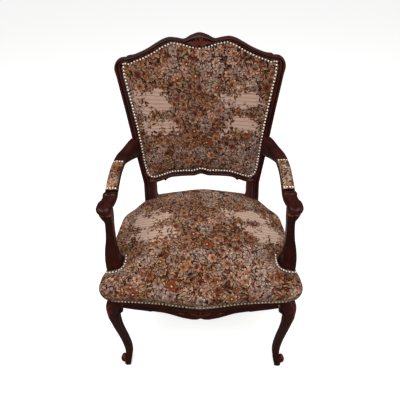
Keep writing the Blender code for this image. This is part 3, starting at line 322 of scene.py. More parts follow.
def scatter(add, cloth, cell, shift):
    # the nearest motif: the way to its middle in cells, and three random numbers
    cells = add("ShaderNodeMapping", cloth, Location=(shift, shift * 1.7, 0.0), Scale=(1000.0 / cell,) * 3)
    colour = add("ShaderNodeTexVoronoi", cells, Scale=1.0, Randomness=0.86, voronoi_dimensions="2D", feature="F1",
                 output="Color")
    local = add("ShaderNodeVectorMath", cells, colour.node.outputs["Position"], operation="SUBTRACT")
    return local, *add("ShaderNodeSeparateColor", colour).node.outputs


def leafShape(add, local, chance, length, width):
    # a pointed oval turned at random: below 1 inside it, and the distance from its vein
    turn = add("ShaderNodeMath", chance, math.tau, operation="MULTIPLY")
    turned = add("ShaderNodeVectorRotate", local, Angle=turn, rotation_type="Z_AXIS")
    x, y, z = add("ShaderNodeSeparateXYZ", turned).node.outputs
    along, across = (add("ShaderNodeMath", add("ShaderNodeMath", part, size, operation="DIVIDE"),
                         operation="ABSOLUTE") for part, size in ((x, length), (y, width)))
    curved = add("ShaderNodeMath", along, 1.5, operation="POWER")
    return add("ShaderNodeMath", curved, across, operation="ADD"), across


def flowerShape(add, local, chance, petals, radius):
    # below 1 inside the lobed edge, and how near the middle of a petal
    x, y, z = add("ShaderNodeSeparateXYZ", local).node.outputs
    angle = add("ShaderNodeMath", add("ShaderNodeMath", y, x, operation="ARCTAN2"), petals, operation="MULTIPLY")
    turned = add("ShaderNodeMath", chance, math.tau, angle, operation="MULTIPLY_ADD")
    wave = add("ShaderNodeMath", add("ShaderNodeMath", turned, 0.5, operation="MULTIPLY"), operation="COSINE")
    petal = add("ShaderNodeMath", wave, operation="ABSOLUTE")
    edge = add("ShaderNodeMath", petal, radius * 0.40, radius * 0.60, operation="MULTIPLY_ADD")
    reach = add("ShaderNodeVectorMath", local, operation="LENGTH")
    return add("ShaderNodeMath", reach, edge, operation="DIVIDE"), petal


def yarnColour(add, warm, chance, motif):
    # a yarn picked at random, from the rust ones in warm patches and the rose ones elsewhere
    picked = []
    for family in ("rose", "rust"):
        codes = tapestry[family + motif]
        colour = add("ShaderNodeValToRGB", chance)
        ramp = colour.node.color_ramp
        ramp.interpolation = "CONSTANT"
        while len(ramp.elements) < len(codes):
            ramp.elements.new(0.5)
        for i in range(len(codes)):
            ramp.elements[i].position = i / len(codes)
        for element, code in zip(ramp.elements, codes):
            element.color = linear(code)
        picked.append(colour)
    return add("ShaderNodeMix", warm, *picked, data_type="RGBA")


# cotton tapestry in rust, rose and near black: matt, with a crowded floral pattern and pale open glades
def floweredTapestry(name, glades, tint=(1.0, 0.89, 0.83)):
    material, shader, add = newMaterial(name)
    plan = add("ShaderNodeUVMap", uv_map="clothPlan")
    sway = add("ShaderNodeTexNoise", plan, Scale=110.0, Detail=1.0, noise_dimensions="2D", output="Color")
    drift = add("ShaderNodeVectorMath", sway, (0.5, 0.5, 0.5), operation="SUBTRACT")
    drift = add("ShaderNodeVectorMath", drift, 0.004, operation="SCALE")
    cloth = add("ShaderNodeVectorMath", plan, drift, operation="ADD")
    patches = add("ShaderNodeTexNoise", plan, Scale=9.0, Detail=1.0, noise_dimensions="2D")
    warm = add("ShaderNodeMapRange", patches, 0.44, 0.50, interpolation_type="SMOOTHSTEP")

    def weaveLeaves(colour, layers, shift, lighter=0.0):
        for index, (cell, length, width, filled) in enumerate(layers):
            local, a, b, c = scatter(add, cloth, cell, shift + 3.1 * index)
            reach, across = leafShape(add, local, a, length, width)
            yarn = add("ShaderNodeMix", lighter, yarnColour(add, warm, b, "Leaf"), yarns["leafLight"],
                       data_type="RGBA")
            yarn = tintWhere(add, yarn, across, 0.30, 0.10, yarns["vein"])
            present = add("ShaderNodeMath", c, filled, operation="LESS_THAN")
            colour = tintWhere(add, colour, reach, 1.60, 1.45, yarns["dark"], present)
            colour = tintWhere(add, colour, reach, 1.05, 0.92, yarn, present)
        return colour

    colour = weaveLeaves(yarns["dark"], tapestry["leaves"], 3.1)
    for index, (cell, petals, radius, filled) in enumerate(tapestry["flowers"]):
        local, a, b, c = scatter(add, cloth, cell, 7.7 * (index + 1))
        reach, petal = flowerShape(add, local, a, petals, radius)
        yarn = yarnColour(add, warm, b, "Flower")
        pale = add("ShaderNodeMath", c, 0.85, operation="MULTIPLY")
        yarn = tintWhere(add, yarn, reach, 0.66, 0.92, yarns["petalEdge"], pale)
        yarn = tintWhere(add, yarn, reach, 0.60, 0.30, yarns["petalShade"], 0.62)
        yarn = tintWhere(add, yarn, petal, 0.30, 0.12, yarns["dark"])
        middle = add("ShaderNodeMix", add("ShaderNodeMath", b, 0.24, operation="GREATER_THAN"), yarns["paleMiddle"],
                     yarns["darkMiddle"], data_type="RGBA")
        yarn = tintWhere(add, yarn, reach, 0.20, 0.13, middle)
        present = add("ShaderNodeMath", c, filled, operation="LESS_THAN")
        colour = tintWhere(add, colour, reach, 1.20, 1.12, yarns["dark"], present)
        colour = tintWhere(add, colour, reach, 1.03, 0.96, yarn, present)
    colour = weaveLeaves(colour, tapestry["topLeaves"], 31.0, 0.35)

    # open glades: pale rose-beige with thin water lines and a ragged, leafy edge
    local, a, b, c = scatter(add, cloth, 13.0, 21.0)
    reach, across = leafShape(add, local, a, 0.70, 0.20)
    frill = add("ShaderNodeMapRange", reach, 1.60, 1.45, 0.0, 0.40, interpolation_type="SMOOTHSTEP")
    edge = add("ShaderNodeTexNoise", plan, Scale=19.0, Detail=4.0, Roughness=0.65, noise_dimensions="2D")
    ragged = add("ShaderNodeMath", edge, 3.4, -1.7, operation="MULTIPLY_ADD")
    ragged = add("ShaderNodeMath", frill, ragged, operation="ADD")
    ripple = add("ShaderNodeTexWave", cloth, Scale=24.0, Distortion=9.0, Detail=3.0, Detail_Scale=0.3,
                 bands_direction="Y", output=1)
    water = tintWhere(add, yarns["glade"], ripple, 0.62, 0.95, yarns["ripple"], 0.45)
    for x, y, wide, high in glades:
        spot = add("ShaderNodeMapping", plan, Location=(x, y, 0.0), Scale=(wide, high, 1.0), vector_type="TEXTURE")
        reach = add("ShaderNodeVectorMath", spot, operation="LENGTH")
        reach = add("ShaderNodeMath", reach, ragged, operation="ADD")
        colour = tintWhere(add, colour, reach, 1.06, 1.0, water)

    warp, weft = (add("ShaderNodeTexWave", plan, Scale=1000.0 / tapestry["thread"] / 20, bands_direction=way,
                      output=1) for way in "XY")
    weave = add("ShaderNodeMath", warp, weft, operation="MULTIPLY")
    # the colour darkens between the threads: painted shade
    gaps = add("ShaderNodeMath", weave, -0.14, 0.14, operation="MULTIPLY_ADD")
    colour = add("ShaderNodeMix", gaps, colour, yarns["gap"], data_type="RGBA")
    colour = add("ShaderNodeMix", 1.0, colour, (*tint, 1.0), data_type="RGBA", blend_type="MULTIPLY")
    feed(shader, {"Base Color": colour, "Roughness": 0.92, "Specular IOR Level": 0.2, "Sheen Weight": 0.08,
                  "Normal": add("ShaderNodeBump", Strength=0.5, Distance=0.0006, Height=weave)})
    return material


# glades on the flat cloth: middle x and y, half width and half height, in metres
tapestrySeat = floweredTapestry("flowered tapestry, seat", (
    (-0.200, 0.025, 0.075, 0.040), (-0.150, -0.040, 0.075, 0.034), (0.165, 0.045, 0.080, 0.034),
    (0.215, -0.030, 0.065, 0.040), (0.03, -0.33, 0.060, 0.030)))
# the back's copy is tinted darker than the seat's: painted shade
tapestryBack = floweredTapestry("flowered tapestry, back", (
    (-0.165, 0.050, 0.062, 0.038), (-0.140, -0.035, 0.070, 0.030), (0.145, 0.060, 0.066, 0.036),
    (0.155, -0.035, 0.064, 0.030)), (0.86, 0.74, 0.70))
tapestryPlain = floweredTapestry("flowered tapestry, small pieces", ())
# the arm pads' copy is tinted lighter: partly their paler cloth, partly painted light
tapestryPads = floweredTapestry("flowered tapestry, arm pads", (), (1.10, 0.99, 0.88))
print("materials made")


# outline of the seat frame in plan, from the middle of the front round to the rear post
seatFrame = {"frontY": 0.008, "bow": 0.025, "halfFront": 0.272, "halfSeat": 0.291, "halfRear": 0.2185,
             "postFront": 0.4258, "postDepth": 0.030, "railTop": 0.415, "railBottom": 0.352, "railThick": 0.026,
             "legBlock": 0.029, "blockDepth": 0.044, "apronDrop": 0.033, "nailLevel": 0.393}
nailLevel = seatFrame["nailLevel"]


def seatLines():
    s = seatFrame
    shape = ((0.0, 0.0), (0.22, 0.22), (0.44, 0.56), (0.66, 0.74), (0.88, 0.85), (1.0, 1.0))
    front = [(s["halfFront"] * u, s["frontY"] + s["bow"] * v) for u, v in shape]
    start = s["frontY"] + s["bow"]
    length = s["postFront"] - jointGap - start
    shape = ((0.025, 0.60), (0.065, 0.90), (0.17, 1.0), (0.30, 0.98), (0.43, 0.90), (0.56, 0.86),
             (0.68, 0.80), (0.79, 0.70), (0.89, 0.35), (1.0, 0.0))
    sides = [(blend(s["halfFront"] if u < 0.1 else s["halfRear"], s["halfSeat"], v), start + length * u)
             for u, v in shape]
    return front, sides


frontLine, sideLine = seatLines()
jointX = seatFrame["halfFront"] - seatFrame["legBlock"]
jointY = seatFrame["frontY"] + seatFrame["bow"] + seatFrame["blockDepth"]
rearFaceY = seatFrame["postFront"] + seatFrame["postDepth"]


def frontY(x):
    return between(frontLine, abs(x))


def sideX(y):
    return between([(q, p) for p, q in sideLine], y)


# the back: a raked sheet, hollow from side to side
backShape = {"baseY": 0.4831, "baseZ": 0.50, "rake": 0.324, "hollow": 0.2755, "front": 0.010, "rear": 0.022,
             "rebate": 0.001, "hem": 0.0045, "hemMargin": 0.0025, "crown": 0.021, "unevenness": 0.0016,
             # how much of the crown each share of the outline has
             "swell": ((0.940, 0.20), (0.90, 0.42), (0.82, 0.64), (0.72, 0.80), (0.58, 0.90), (0.38, 0.97),
                       (0.18, 0.995)),
             "rearSwell": ((0.985, 0.0), (0.90, 0.0008), (0.55, 0.0022), (0.2, 0.003))}
nailLine = [
    (0.0, 0.9435), (0.030, 0.948), (0.060, 0.957), (0.092, 0.9617), (0.124, 0.950),
    (0.153, 0.935), (0.190, 0.920), (0.216, 0.913), (0.235, 0.906), (0.2534, 0.911),
    (0.2535, 0.877), (0.246, 0.832), (0.2355, 0.770), (0.2251, 0.705), (0.2185, 0.652),
    (0.2116, 0.589), (0.2064, 0.5544), (0.2007, 0.535), (0.185, 0.5236), (0.160, 0.5275),
    (0.1355, 0.5343), (0.109, 0.5412), (0.064, 0.5431), (0.033, 0.5421), (0.0, 0.5509),
]


def backY(x, z):
    # the middle sheet of the back at a height and a distance from the chair's middle
    s = backShape
    return s["baseY"] + s["rake"] * (z - s["baseZ"]) - s["hollow"] * x * x


def whole(half):
    # an outline from its right half
    return half + [(-x, z) for x, z in reversed(half[1:-1])]


def offsetOutline(outline, distance):
    moved = []
    count = len(outline)
    for i, here in enumerate(outline):
        here = Vector(here)
        a = (here - Vector(outline[i - 1])).normalized()
        b = (Vector(outline[(i + 1) % count]) - here).normalized()
        normal = Vector((-(a + b).y, (a + b).x)).normalized()
        moved.append(tuple(here + normal * distance / max(0.6, normal.dot(Vector((-a.y, a.x))))))
    return moved


def insideOutline(outline, x, z):
    hit = False
    for (xa, za), (xb, zb) in zip(outline, outline[1:] + outline[:1]):
        if (za > z) != (zb > z) and x < xa + (xb - xa) * (z - za) / (zb - za):
            hit = not hit
    return hit


backNails = whole(nailLine)
backHem = offsetOutline(backNails, backShape["hem"])


def mouldingWidth(outer, inner):
    # how much of the way in is bare wood, up to the hem of the cover
    outer = Vector(outer)
    inner = Vector(inner)
    length = (inner - outer).length
    for i in range(120):
        p = outer.lerp(inner, i / 120)
        if insideOutline(backHem, abs(p.x), p.y):
            return max(0.004, length * i / 120 - backShape["hemMargin"])
    return None


# the moulding from the outer edge in: an outer bead, a groove and an inner bead
mouldingProfile = [(0.0, -0.2), (0.04, -0.75), (0.13, -1.0), (0.30, -1.05), (0.42, -0.82), (0.50, -0.36),
                   (0.57, -0.62), (0.68, -0.95), (0.82, -0.92), (0.94, -0.66), (1.0, -0.35)]


def backSection(outer, inner, width, rebated=True):
    s = backShape
    outer = Vector(outer)
    inner = Vector(inner)
    across = (inner - outer).normalized()
    flat = s["rebate"] if rebated else -0.4 * s["front"]
    section = [(outer + across * width * u, s["front"] * v) for u, v in mouldingProfile]
    section += [(outer + across * (width + 0.0005), flat), (inner, flat), (inner, s["rear"] - 0.003),
                (inner.lerp(outer, 0.1), s["rear"]), (outer.lerp(inner, 0.15), s["rear"]),
                (outer, s["rear"] - 0.006)]
    return [Vector((p.x, backY(p.x, p.y) + n, p.y)) for p, n in section]


# rear posts, one piece each from the floor to the ear beside the crest
rearPost = {
    "outer": [(0.0, 0.212), (0.22, 0.214), (0.33, 0.216), (0.43, 0.2185), (0.506, 0.2208), (0.54, 0.2262),
              (0.61, 0.2376), (0.672, 0.2472), (0.76, 0.2602), (0.85, 0.2748), (0.902, 0.2838)],
    "inner": [(0.0, 0.186), (0.22, 0.180), (0.33, 0.1725), (0.40, 0.1665), (0.445, 0.1665), (0.462, 0.172),
              (0.506, 0.1745), (0.572, 0.1935), (0.61, 0.1985), (0.672, 0.206), (0.76, 0.218), (0.85, 0.231),
              (0.868, 0.2335)],
    "middle": [(0.0, 0.505), (0.05, 0.490), (0.10, 0.476), (0.16, 0.461), (0.22, 0.449), (0.28, 0.4425),
               (0.33, 0.4408)],
    "levels": [0.0, 0.004, 0.05, 0.10, 0.16, 0.22, 0.28, 0.33, 0.40, 0.415, 0.445, 0.462, 0.484, 0.506, 0.511,
               0.514, 0.530, 0.54, 0.572, 0.61, 0.64, 0.672, 0.715, 0.76, 0.805, 0.85],
    "moulding": 0.0225, "rebateFrom": 0.512, "backFrom": 0.506,
    "jointLow": (0.2335, 0.868), "jointHigh": (0.2475, 0.9225),
    "ear": [((0.2782, 0.872), 0.0), ((0.2832, 0.896), 0.36), ((0.2780, 0.913), 0.64), ((0.2650, 0.922), 0.86),
            ((0.2560, 0.9222), 1.0)],
}


def postSection(z):
    s = rearPost
    depth = seatFrame["postDepth"]
    outer = (between(s["outer"], z), z)
    inner = (between(s["inner"], z), z)
    width = mouldingWidth(outer, inner) or s["moulding"]
    share = smoothStep((z - seatFrame["railTop"]) / (s["backFrom"] - seatFrame["railTop"]))
    middle = between(s["middle"], z)
    ring = []
    for p in backSection(outer, inner, width, z > s["rebateFrom"]):
        out = p.y - backY(p.x, z)
        below = middle + (-depth / 2 if out < 0 else depth / 2)
        if 0 <= out < backShape["rear"] - 0.001:
            below -= 0.006
        ring.append(Vector((p.x, blend(below, p.y, share), z)))
    return ring


def makeRearPosts():
    s = rearPost
    rings = [postSection(z) for z in s["levels"]]
    low = Vector(s["jointLow"])
    high = Vector(s["jointHigh"])
    for outer, t in s["ear"]:
        inner = tuple(low.lerp(high, t))
        length = (Vector(inner) - Vector(outer)).length
        width = mouldingWidth(outer, inner) or length * 0.8
        rings.append(backSection(outer, inner, min(width, length * 0.9)))
    for name, side in (("left", -1), ("right", 1)):
        post = woodPiece("rearPost." + name, mirrored(rings, side), mahoganyUp)
        rideAs(post, "polished_mahogany", "rear_post_" + name)


# crest and lower rail of the back
crestRail = {
    "outer": [(0.2472, 0.9225), (0.2381, 0.9279), (0.2178, 0.9301), (0.195, 0.937), (0.1729, 0.9454),
              (0.147, 0.958), (0.122, 0.9695), (0.0993, 0.9748), (0.0724, 0.972), (0.051, 0.9687),
              (0.030, 0.978), (0.012, 0.984), (0.0, 0.9855)],
    "inner": [(0.2332, 0.868), (0.224, 0.876), (0.207, 0.884), (0.190, 0.890), (0.170, 0.897),
              (0.147, 0.908), (0.122, 0.918), (0.0993, 0.924), (0.0724, 0.922), (0.051, 0.9185),
              (0.030, 0.916), (0.012, 0.915), (0.0, 0.915)],
}
lowerRail = {
    "outer": [(0.1742, 0.506), (0.158, 0.510), (0.1433, 0.5146), (0.137, 0.5106), (0.128, 0.518),
              (0.113, 0.5235), (0.083, 0.5255), (0.050, 0.5265), (0.0254, 0.5272), (0.0, 0.5338)],
    "inner": [(0.1932, 0.572), (0.175, 0.570), (0.155, 0.5695), (0.145, 0.569), (0.133, 0.5685),
              (0.113, 0.568), (0.083, 0.566), (0.050, 0.566), (0.0254, 0.568), (0.0, 0.570)],
}


def makeBackRail(name, table, node):
    rings = []
    for outer, inner in zip(table["outer"], table["inner"]):
        width = mouldingWidth(outer, inner)
        rings.append(backSection((outer[0] - jointGap, outer[1]), (inner[0] - jointGap, inner[1]), width))
    other = [[Vector((-p.x, p.y, p.z)) for p in ring] for ring in rings[:-1]]
    rail = woodPiece(name, rings + other[::-1], mahoganyAcross, along=4)
    return rideAs(rail, "polished_mahogany", node)


# carved leaves: a raised blade with a sunk vein, on a base below the wood that carries it
leafShapes = {"rows": 11, "columns": 6, "base": 0.0025}


def carvedLeaf(points, faces, root, tip, width, height, out, curl=0.0, lobes=0):
    rows, columns = leafShapes["rows"], leafShapes["columns"]
    root = Vector(root)
    tip = Vector(tip)
    out = Vector(out).normalized()
    along = tip - root
    across = along.cross(out).normalized()
    start = len(points)
    for layer in (1, 0):
        for i in range(rows):
            t = i / (rows - 1)
            spread = width * math.sin(math.pi * (0.06 + 0.90 * t) ** 0.8) ** 0.8
            if lobes:
                spread *= 1 - 0.22 * abs(math.sin(lobes * math.pi * t))
            middle = root + along * t + across * curl * math.sin(math.pi * t)
            for j in range(columns + 1):
                u = 2 * j / columns - 1
                rise = height * (1 - u * u) ** 0.6 * (1 - 0.45 * math.exp(-(u / 0.28) ** 2))
                rise *= 0.35 + 0.65 * math.sin(math.pi * min(1.0, 0.12 + 0.86 * t)) ** 0.5
                lift = rise if layer else -leafShapes["base"]
                points.append(middle + across * spread * u + out * lift)
    size = rows * (columns + 1)
    w = columns + 1
    for i in range(rows - 1):
        for j in range(columns):
            a = start + i * w + j
            faces.append((a, a + 1, a + w + 1, a + w))
            faces.append((a + size, a + size + w, a + size + w + 1, a + size + 1))
    rim = [i * w for i in range(rows)] + [(rows - 1) * w + j for j in range(1, w)]
    rim += [i * w + columns for i in range(rows - 2, -1, -1)] + [j for j in range(columns - 1, 0, -1)]
    for a, b in zip(rim, rim[1:] + rim[:1]):
        faces.append((start + a, start + b, start + size + b, start + size + a))


def carvedGroup(name, leaves, material):
    points, faces = [], []
    for leaf in leaves:
        carvedLeaf(points, faces, *leaf)
    piece = markRelief(newPiece(name, points, faces, material))
    return rideAs(piece, "polished_mahogany")


def makeCrestCarving():
    # a palmette, its leaves fanned out from one heart, with a scroll on each side
    out = Vector((0.0, -1.0, backShape["rake"]))
    heart = 0.952

    def place(x, z):
        return Vector((x, backY(x, z) - backShape["front"] * 0.80, z))

    leaves = []
    for turn, reach, width in ((0.0, 0.031, 0.0042), (0.42, 0.028, 0.0038), (0.84, 0.026, 0.0036),
                               (1.22, 0.025, 0.0032)):
        for side in ((1,) if turn == 0.0 else (-1, 1)):
            dx, dz = math.sin(turn) * side, math.cos(turn)
            leaves.append((place(dx * 0.004, heart + dz * 0.003), place(dx * reach, heart + dz * reach),
                           width, 0.0046, out, 0.002 * side))
    for side in (-1, 1):
        leaves.append((place(side * 0.006, 0.948), place(side * 0.036, 0.9585), 0.0034, 0.0042, out, -0.004 * side))
        leaves.append((place(side * 0.024, 0.9665), place(side * 0.043, 0.9625), 0.0030, 0.0036, out, 0.003 * side))
    carvedGroup("crestPalmette", leaves, mahoganyAcross)


# front and side seat rails with a bead along the lower edge
railFace = [(-0.001, 1.0), (-0.004, 0.85), (-0.002, 0.68), (0.0015, 0.50), (-0.001, 0.34), (-0.0038, 0.22),
            (-0.0040, 0.10), (-0.001, 0.0)]


def apronZ(x):
    s = seatFrame
    shape = [(0.0, 0.011), (0.045, 0.0025), (0.10, 0.0), (0.20, 0.005), (0.38, 0.020), (0.55, 0.0260),
             (0.58, 0.0230), (0.78, 0.031), (jointX / s["halfFront"], 0.038)]
    return s["railBottom"] - s["apronDrop"] + between(shape, abs(x) / s["halfFront"])


def sideEdgeZ(y):
    shape = [(0.0, 0.357), (0.12, 0.349), (0.35, 0.345), (0.65, 0.345), (0.9, 0.348), (1.0, 0.350)]
    return between(shape, (y - jointY) / (seatFrame["postFront"] - jointY))


def railSection(edgeZ):
    s = seatFrame
    shown = nailLevel - 0.009
    section = [(0.003, s["railTop"]), (0.0, s["railTop"] - 0.004), (0.0, shown + 0.002)]
    section += [(d, edgeZ + (shown - edgeZ) * f) for d, f in railFace]
    section += [(0.011, edgeZ), (0.012, s["railBottom"]), (s["railThick"], s["railBottom"]),
                (s["railThick"], s["railTop"])]
    return section


def makeSeatRails():
    s = seatFrame
    shares = (0.02, 0.045, 0.08, 0.10, 0.15, 0.20, 0.30, 0.38, 0.47, 0.55, 0.565, 0.58, 0.68, 0.78)
    stations = sorted({x for x, y in frontLine if x < jointX} | {s["halfFront"] * u for u in shares}
                      | {jointX - jointGap})
    stations = [-x for x in reversed(stations[1:])] + stations
    rings = [[Vector((x, frontY(x) + d, z)) for d, z in railSection(apronZ(x))] for x in stations]
    rail = woodPiece("frontSeatRail", rings, mahoganyAcross)
    rideAs(rail, "polished_mahogany", "front_rail")
    stations = [jointY + jointGap] + [y for x, y in sideLine if y > jointY + 0.005]
    rings = [[Vector((sideX(y) - d, y, z)) for d, z in railSection(sideEdgeZ(y))] for y in stations]
    for name, side in (("left", -1), ("right", 1)):
        rail = woodPiece("sideSeatRail." + name, mirrored(rings, side), mahoganyDeep)
        rideAs(rail, "polished_mahogany", "side_rail_" + name)


def makeApronCarving():
    out = Vector((0.0, -1.0, 0.1))

    def place(x, z):
        return Vector((x, frontY(x) + 0.0005, z))

    leaves = [(place(0.0, 0.3335), place(0.0, 0.366), 0.0052, 0.0055, out, 0.0)]
    for side in (-1, 1):
        leaves += [
            (place(side * 0.003, 0.337), place(side * 0.017, 0.361), 0.0045, 0.0050, out, 0.003 * side),
            (place(side * 0.006, 0.334), place(side * 0.030, 0.352), 0.0045, 0.0050, out, -0.003 * side, 2),
            (place(side * 0.018, 0.332), place(side * 0.052, 0.341), 0.0042, 0.0046, out, 0.004 * side, 3),
            (place(side * 0.048, 0.338), place(side * 0.072, 0.349), 0.0028, 0.0036, out, -0.003 * side),
        ]
    carvedGroup("apronLeaves", leaves, mahoganyAcross)


# cabriole front legs
frontLeg = {
    "stations": [
        (0.368, 0.0015, 0.0045, 0.0245), (0.350, 0.0030, 0.0035, 0.0245), (0.335, 0.0060, 0.0000, 0.0220),
        (0.310, 0.0105, -0.0060, 0.0182), (0.280, 0.0105, -0.0100, 0.0148), (0.240, 0.0090, -0.0120, 0.0128),
        (0.190, 0.0060, -0.0110, 0.0120), (0.140, 0.0022, -0.0110, 0.0120), (0.090, -0.0005, -0.0150, 0.0122),
        (0.055, 0.0010, -0.0220, 0.0122), (0.030, 0.0065, -0.0310, 0.0122), (0.012, 0.0100, -0.0370, 0.0115),
        (0.002, 0.0097, -0.0388, 0.0100), (0.0, 0.0095, -0.0390, 0.0095)],
    "section": [(-1.05, -1.05), (-0.80, -0.80), (-0.55, -0.92), (0.05, -1.0), (0.60, -1.0), (0.78, -0.80),
                (0.93, -0.93), (1.0, -0.60), (0.92, 0.0), (0.92, 0.55), (1.05, 1.05), (0.40, 1.0),
                (-0.40, 1.0), (-0.93, 0.93), (-1.0, 0.35), (-0.90, -0.30), (-1.0, -0.60)],
    "inset": 0.001, "setBack": 0.009, "blockEnds": (0.398, 0.385), "archFoot": 0.335, "archHeight": 0.015,
    "slimAt": 0.318, "slimReach": 0.030, "slimBy": 0.16, "scrollOut": 0.0165, "scrollSize": (0.011, 0.0150, 0.0215),
    # carved leaves on the knee: height and place across it of the root, then of the tip, and half width
    "leaves": (((0.368, 0.0), (0.300, 0.0), 0.0075), ((0.366, 0.5), (0.318, 0.65), 0.0055),
               ((0.366, -0.5), (0.318, -0.65), 0.0055), ((0.340, 0.25), (0.285, 0.2), 0.0045)),
}


def legBlockRing(z):
    # the square head of the leg, flush with both rails outside and clear of their ends
    xIn = jointX + jointGap
    yBack = jointY - jointGap
    a = Vector((xIn, frontY(xIn)))
    v = Vector(frontLine[-1])
    b = Vector((sideX(yBack), yBack))
    d = Vector((xIn, yBack))
    c1, c2 = Vector(sideLine[0]), Vector(sideLine[1])
    plan = [a, a.lerp(v, 0.25), a.lerp(v, 0.5), a.lerp(v, 0.75), v, c1, c2, c2.lerp(b, 0.4), c2.lerp(b, 0.75), b,
            b.lerp(d, 0.33), b.lerp(d, 0.67), d, *(d.lerp(a, share) for share in (0.2, 0.4, 0.6, 0.8))]
    return [Vector((p.x, p.y, z)) for p in plan]


def scrollLobe(name, centre, size, material):
    # a rounded knob with a spiral groove, for the toe of the foot
    points = []
    rows, columns = 14, 22
    for i in range(rows + 1):
        tilt = math.pi * i / rows
        for j in range(columns):
            turn = math.tau * j / columns
            groove = 1 - 0.10 * max(0.0, math.cos(2.2 * tilt + turn)) ** 6
            points.append(Vector((centre[0] + size[0] * math.cos(tilt) * (1 - 0.1 * math.cos(turn)),
                                  centre[1] + size[1] * math.sin(tilt) * math.cos(turn) * groove,
                                  centre[2] + size[2] * math.sin(tilt) * math.sin(turn) * groove)))
    faces = [(i * columns + j, i * columns + k, (i + 1) * columns + k, (i + 1) * columns + j)
             for i in range(rows) for j, k in zip(range(columns), [*range(1, columns), 0])]
    piece = newPiece(name, points, faces, material, merged=True)
    return rideAs(markRelief(piece), "polished_mahogany")


def makeFrontLegs():
    s = frontLeg
    x0 = seatFrame["halfFront"] - s["inset"]
    y0 = seatFrame["frontY"] + seatFrame["bow"] + s["setBack"]
    widest = -s["section"][0][0]
    rings = [legBlockRing(z) for z in (seatFrame["railTop"], *s["blockEnds"])]
    for z, dx, dy, half in s["stations"]:
        # the inner side reaches out to the rail in an arch, and is slimmer just below it
        share = smoothStep((z - s["archFoot"]) / s["archHeight"])
        slim = s["slimBy"] * max(0.0, 1 - abs(z - s["slimAt"]) / s["slimReach"])
        reach = max(0.0, x0 + dx - widest * half - jointX - jointGap) * share - slim * half * (1 - share)
        rings.append([Vector((x0 + dx + u * half - reach * max(0.0, -u / widest), y0 + dy + v * half, z))
                      for u, v in s["section"]])
    for name, side in (("left", -1), ("right", 1)):
        leg = woodPiece("frontLeg." + name, mirrored(rings, side), mahoganyUp)
        rideAs(leg, "polished_mahogany", "front_leg_" + name)
        z, dx, dy, half = s["stations"][-4]
        scrollLobe("footScroll." + name, (side * (x0 + dx + s["scrollOut"]), y0 + dy, z - 0.002), s["scrollSize"],
                   mahoganyUp)
        out = Vector((side * 0.75, -0.75, 0.15))
        leaves = []
        for root, tip, width in s["leaves"]:
            ends = []
            for height, across in (root, tip):
                dx, dy, half = (between([(row[0], row[k]) for row in reversed(s["stations"])], height)
                                for k in (1, 2, 3))
                spread = across * half
                ends.append(Vector((side * (x0 + dx + half * 0.86 + min(0, spread) * 0.9),
                                    y0 + dy - half * 0.86 + max(0, spread) * 0.9, height)))
            leaves.append((ends[0], ends[1], width, 0.0034, out, 0.0, 3))
        carvedGroup("kneeLeaves." + name, leaves, mahoganyUp)


# arms: centre line in plan, half width, lift and thickness share, from the post to the knuckle
armShape = {"height": 0.661, "thick": 0.026, "spread": 0.2690, "knuckle": 0.138, "padFront": 0.232,
            "padRear": 0.381, "padRise": 0.013, "leanFrom": 0.44, "leanFull": 0.505, "unevenness": 0.0007}
armSection = [(-1.0, 0.15), (-0.95, 0.62), (-0.78, 0.93), (-0.50, 1.0), (-0.22, 0.93), (0.0, 0.80), (0.22, 0.93),
              (0.50, 1.0), (0.78, 0.93), (0.95, 0.62), (1.0, 0.15), (0.96, -0.35), (0.80, -0.80), (0.45, -1.0),
              (-0.45, -1.0), (-0.80, -0.80), (-0.96, -0.35)]


def armStations():
    s = armShape
    spread = s["spread"]
    rearX = between(rearPost["outer"], s["height"]) - 0.004
    rearY = backY(rearX, s["height"]) - backShape["front"] - jointGap
    front = s["padFront"]
    knuckle = s["knuckle"]
    return [
        (rearX - 0.004, rearY - 0.001, 0.0185, -0.019, 2.6), (rearX + 0.001, 0.495, 0.0195, -0.017, 2.4),
        (spread - 0.014, 0.450, 0.0205, -0.011, 1.85), (spread - 0.004, 0.415, 0.0210, -0.005, 1.4),
        (spread, s["padRear"] + 0.004, 0.0205, 0.0, 0.95), (spread + 0.001, 0.335, 0.0195, 0.0, 0.9),
        (spread - 0.002, 0.280, 0.0195, 0.0, 0.9), (spread - 0.007, front - 0.004, 0.0195, 0.0, 0.95),
        (spread - 0.0075, front - 0.0135, 0.0198, 0.0, 0.98),
        (spread - 0.0065, front - 0.0155, 0.0208, 0.0, 1.14), (spread - 0.0060, front - 0.0210, 0.0212, 0.0, 1.20),
        (spread - 0.0065, front - 0.0260, 0.0208, 0.0, 1.12), (spread - 0.0070, front - 0.029, 0.0196, 0.0, 0.92),
        (spread - 0.007, front - 0.034, 0.0204, 0.0, 1.0),
        (spread - 0.005, 0.185, 0.0206, 0.0, 1.0), (spread - 0.001, knuckle + 0.036, 0.0214, 0.0, 1.10),
        (spread - 0.001, knuckle + 0.022, 0.0224, 0.0, 1.12),
        (spread - 0.001, knuckle + 0.012, 0.0212, 0.0015, 1.0),
        (spread - 0.002, knuckle + 0.005, 0.0186, 0.0020, 0.76),
        (spread - 0.003, knuckle + 0.001, 0.0150, 0.0015, 0.50),
    ]


def armRing(x, y, half, lift, thick):
    # flat on top under the pad, without the groove behind it, and leaning with the back at the post
    s = armShape
    height = s["thick"] / 2 * thick
    lean = backShape["rake"] * max(0.0, (y - s["leanFrom"]) / (s["leanFull"] - s["leanFrom"]))
    underPad = s["padFront"] - 0.006 < y < s["padRear"] + 0.006
    ring = []
    for u, v in armSection:
        if underPad and v > 0.15:
            v = 0.55
        elif y > s["padRear"] and abs(u) < 0.3:
            v = 0.97
        if y < s["padRear"]:
            v = max(v, -1.0 / thick)
        z = s["height"] + lift + v * height
        ring.append(Vector((x + u * half, y + lean * (z - s["height"]), z)))
    return ring


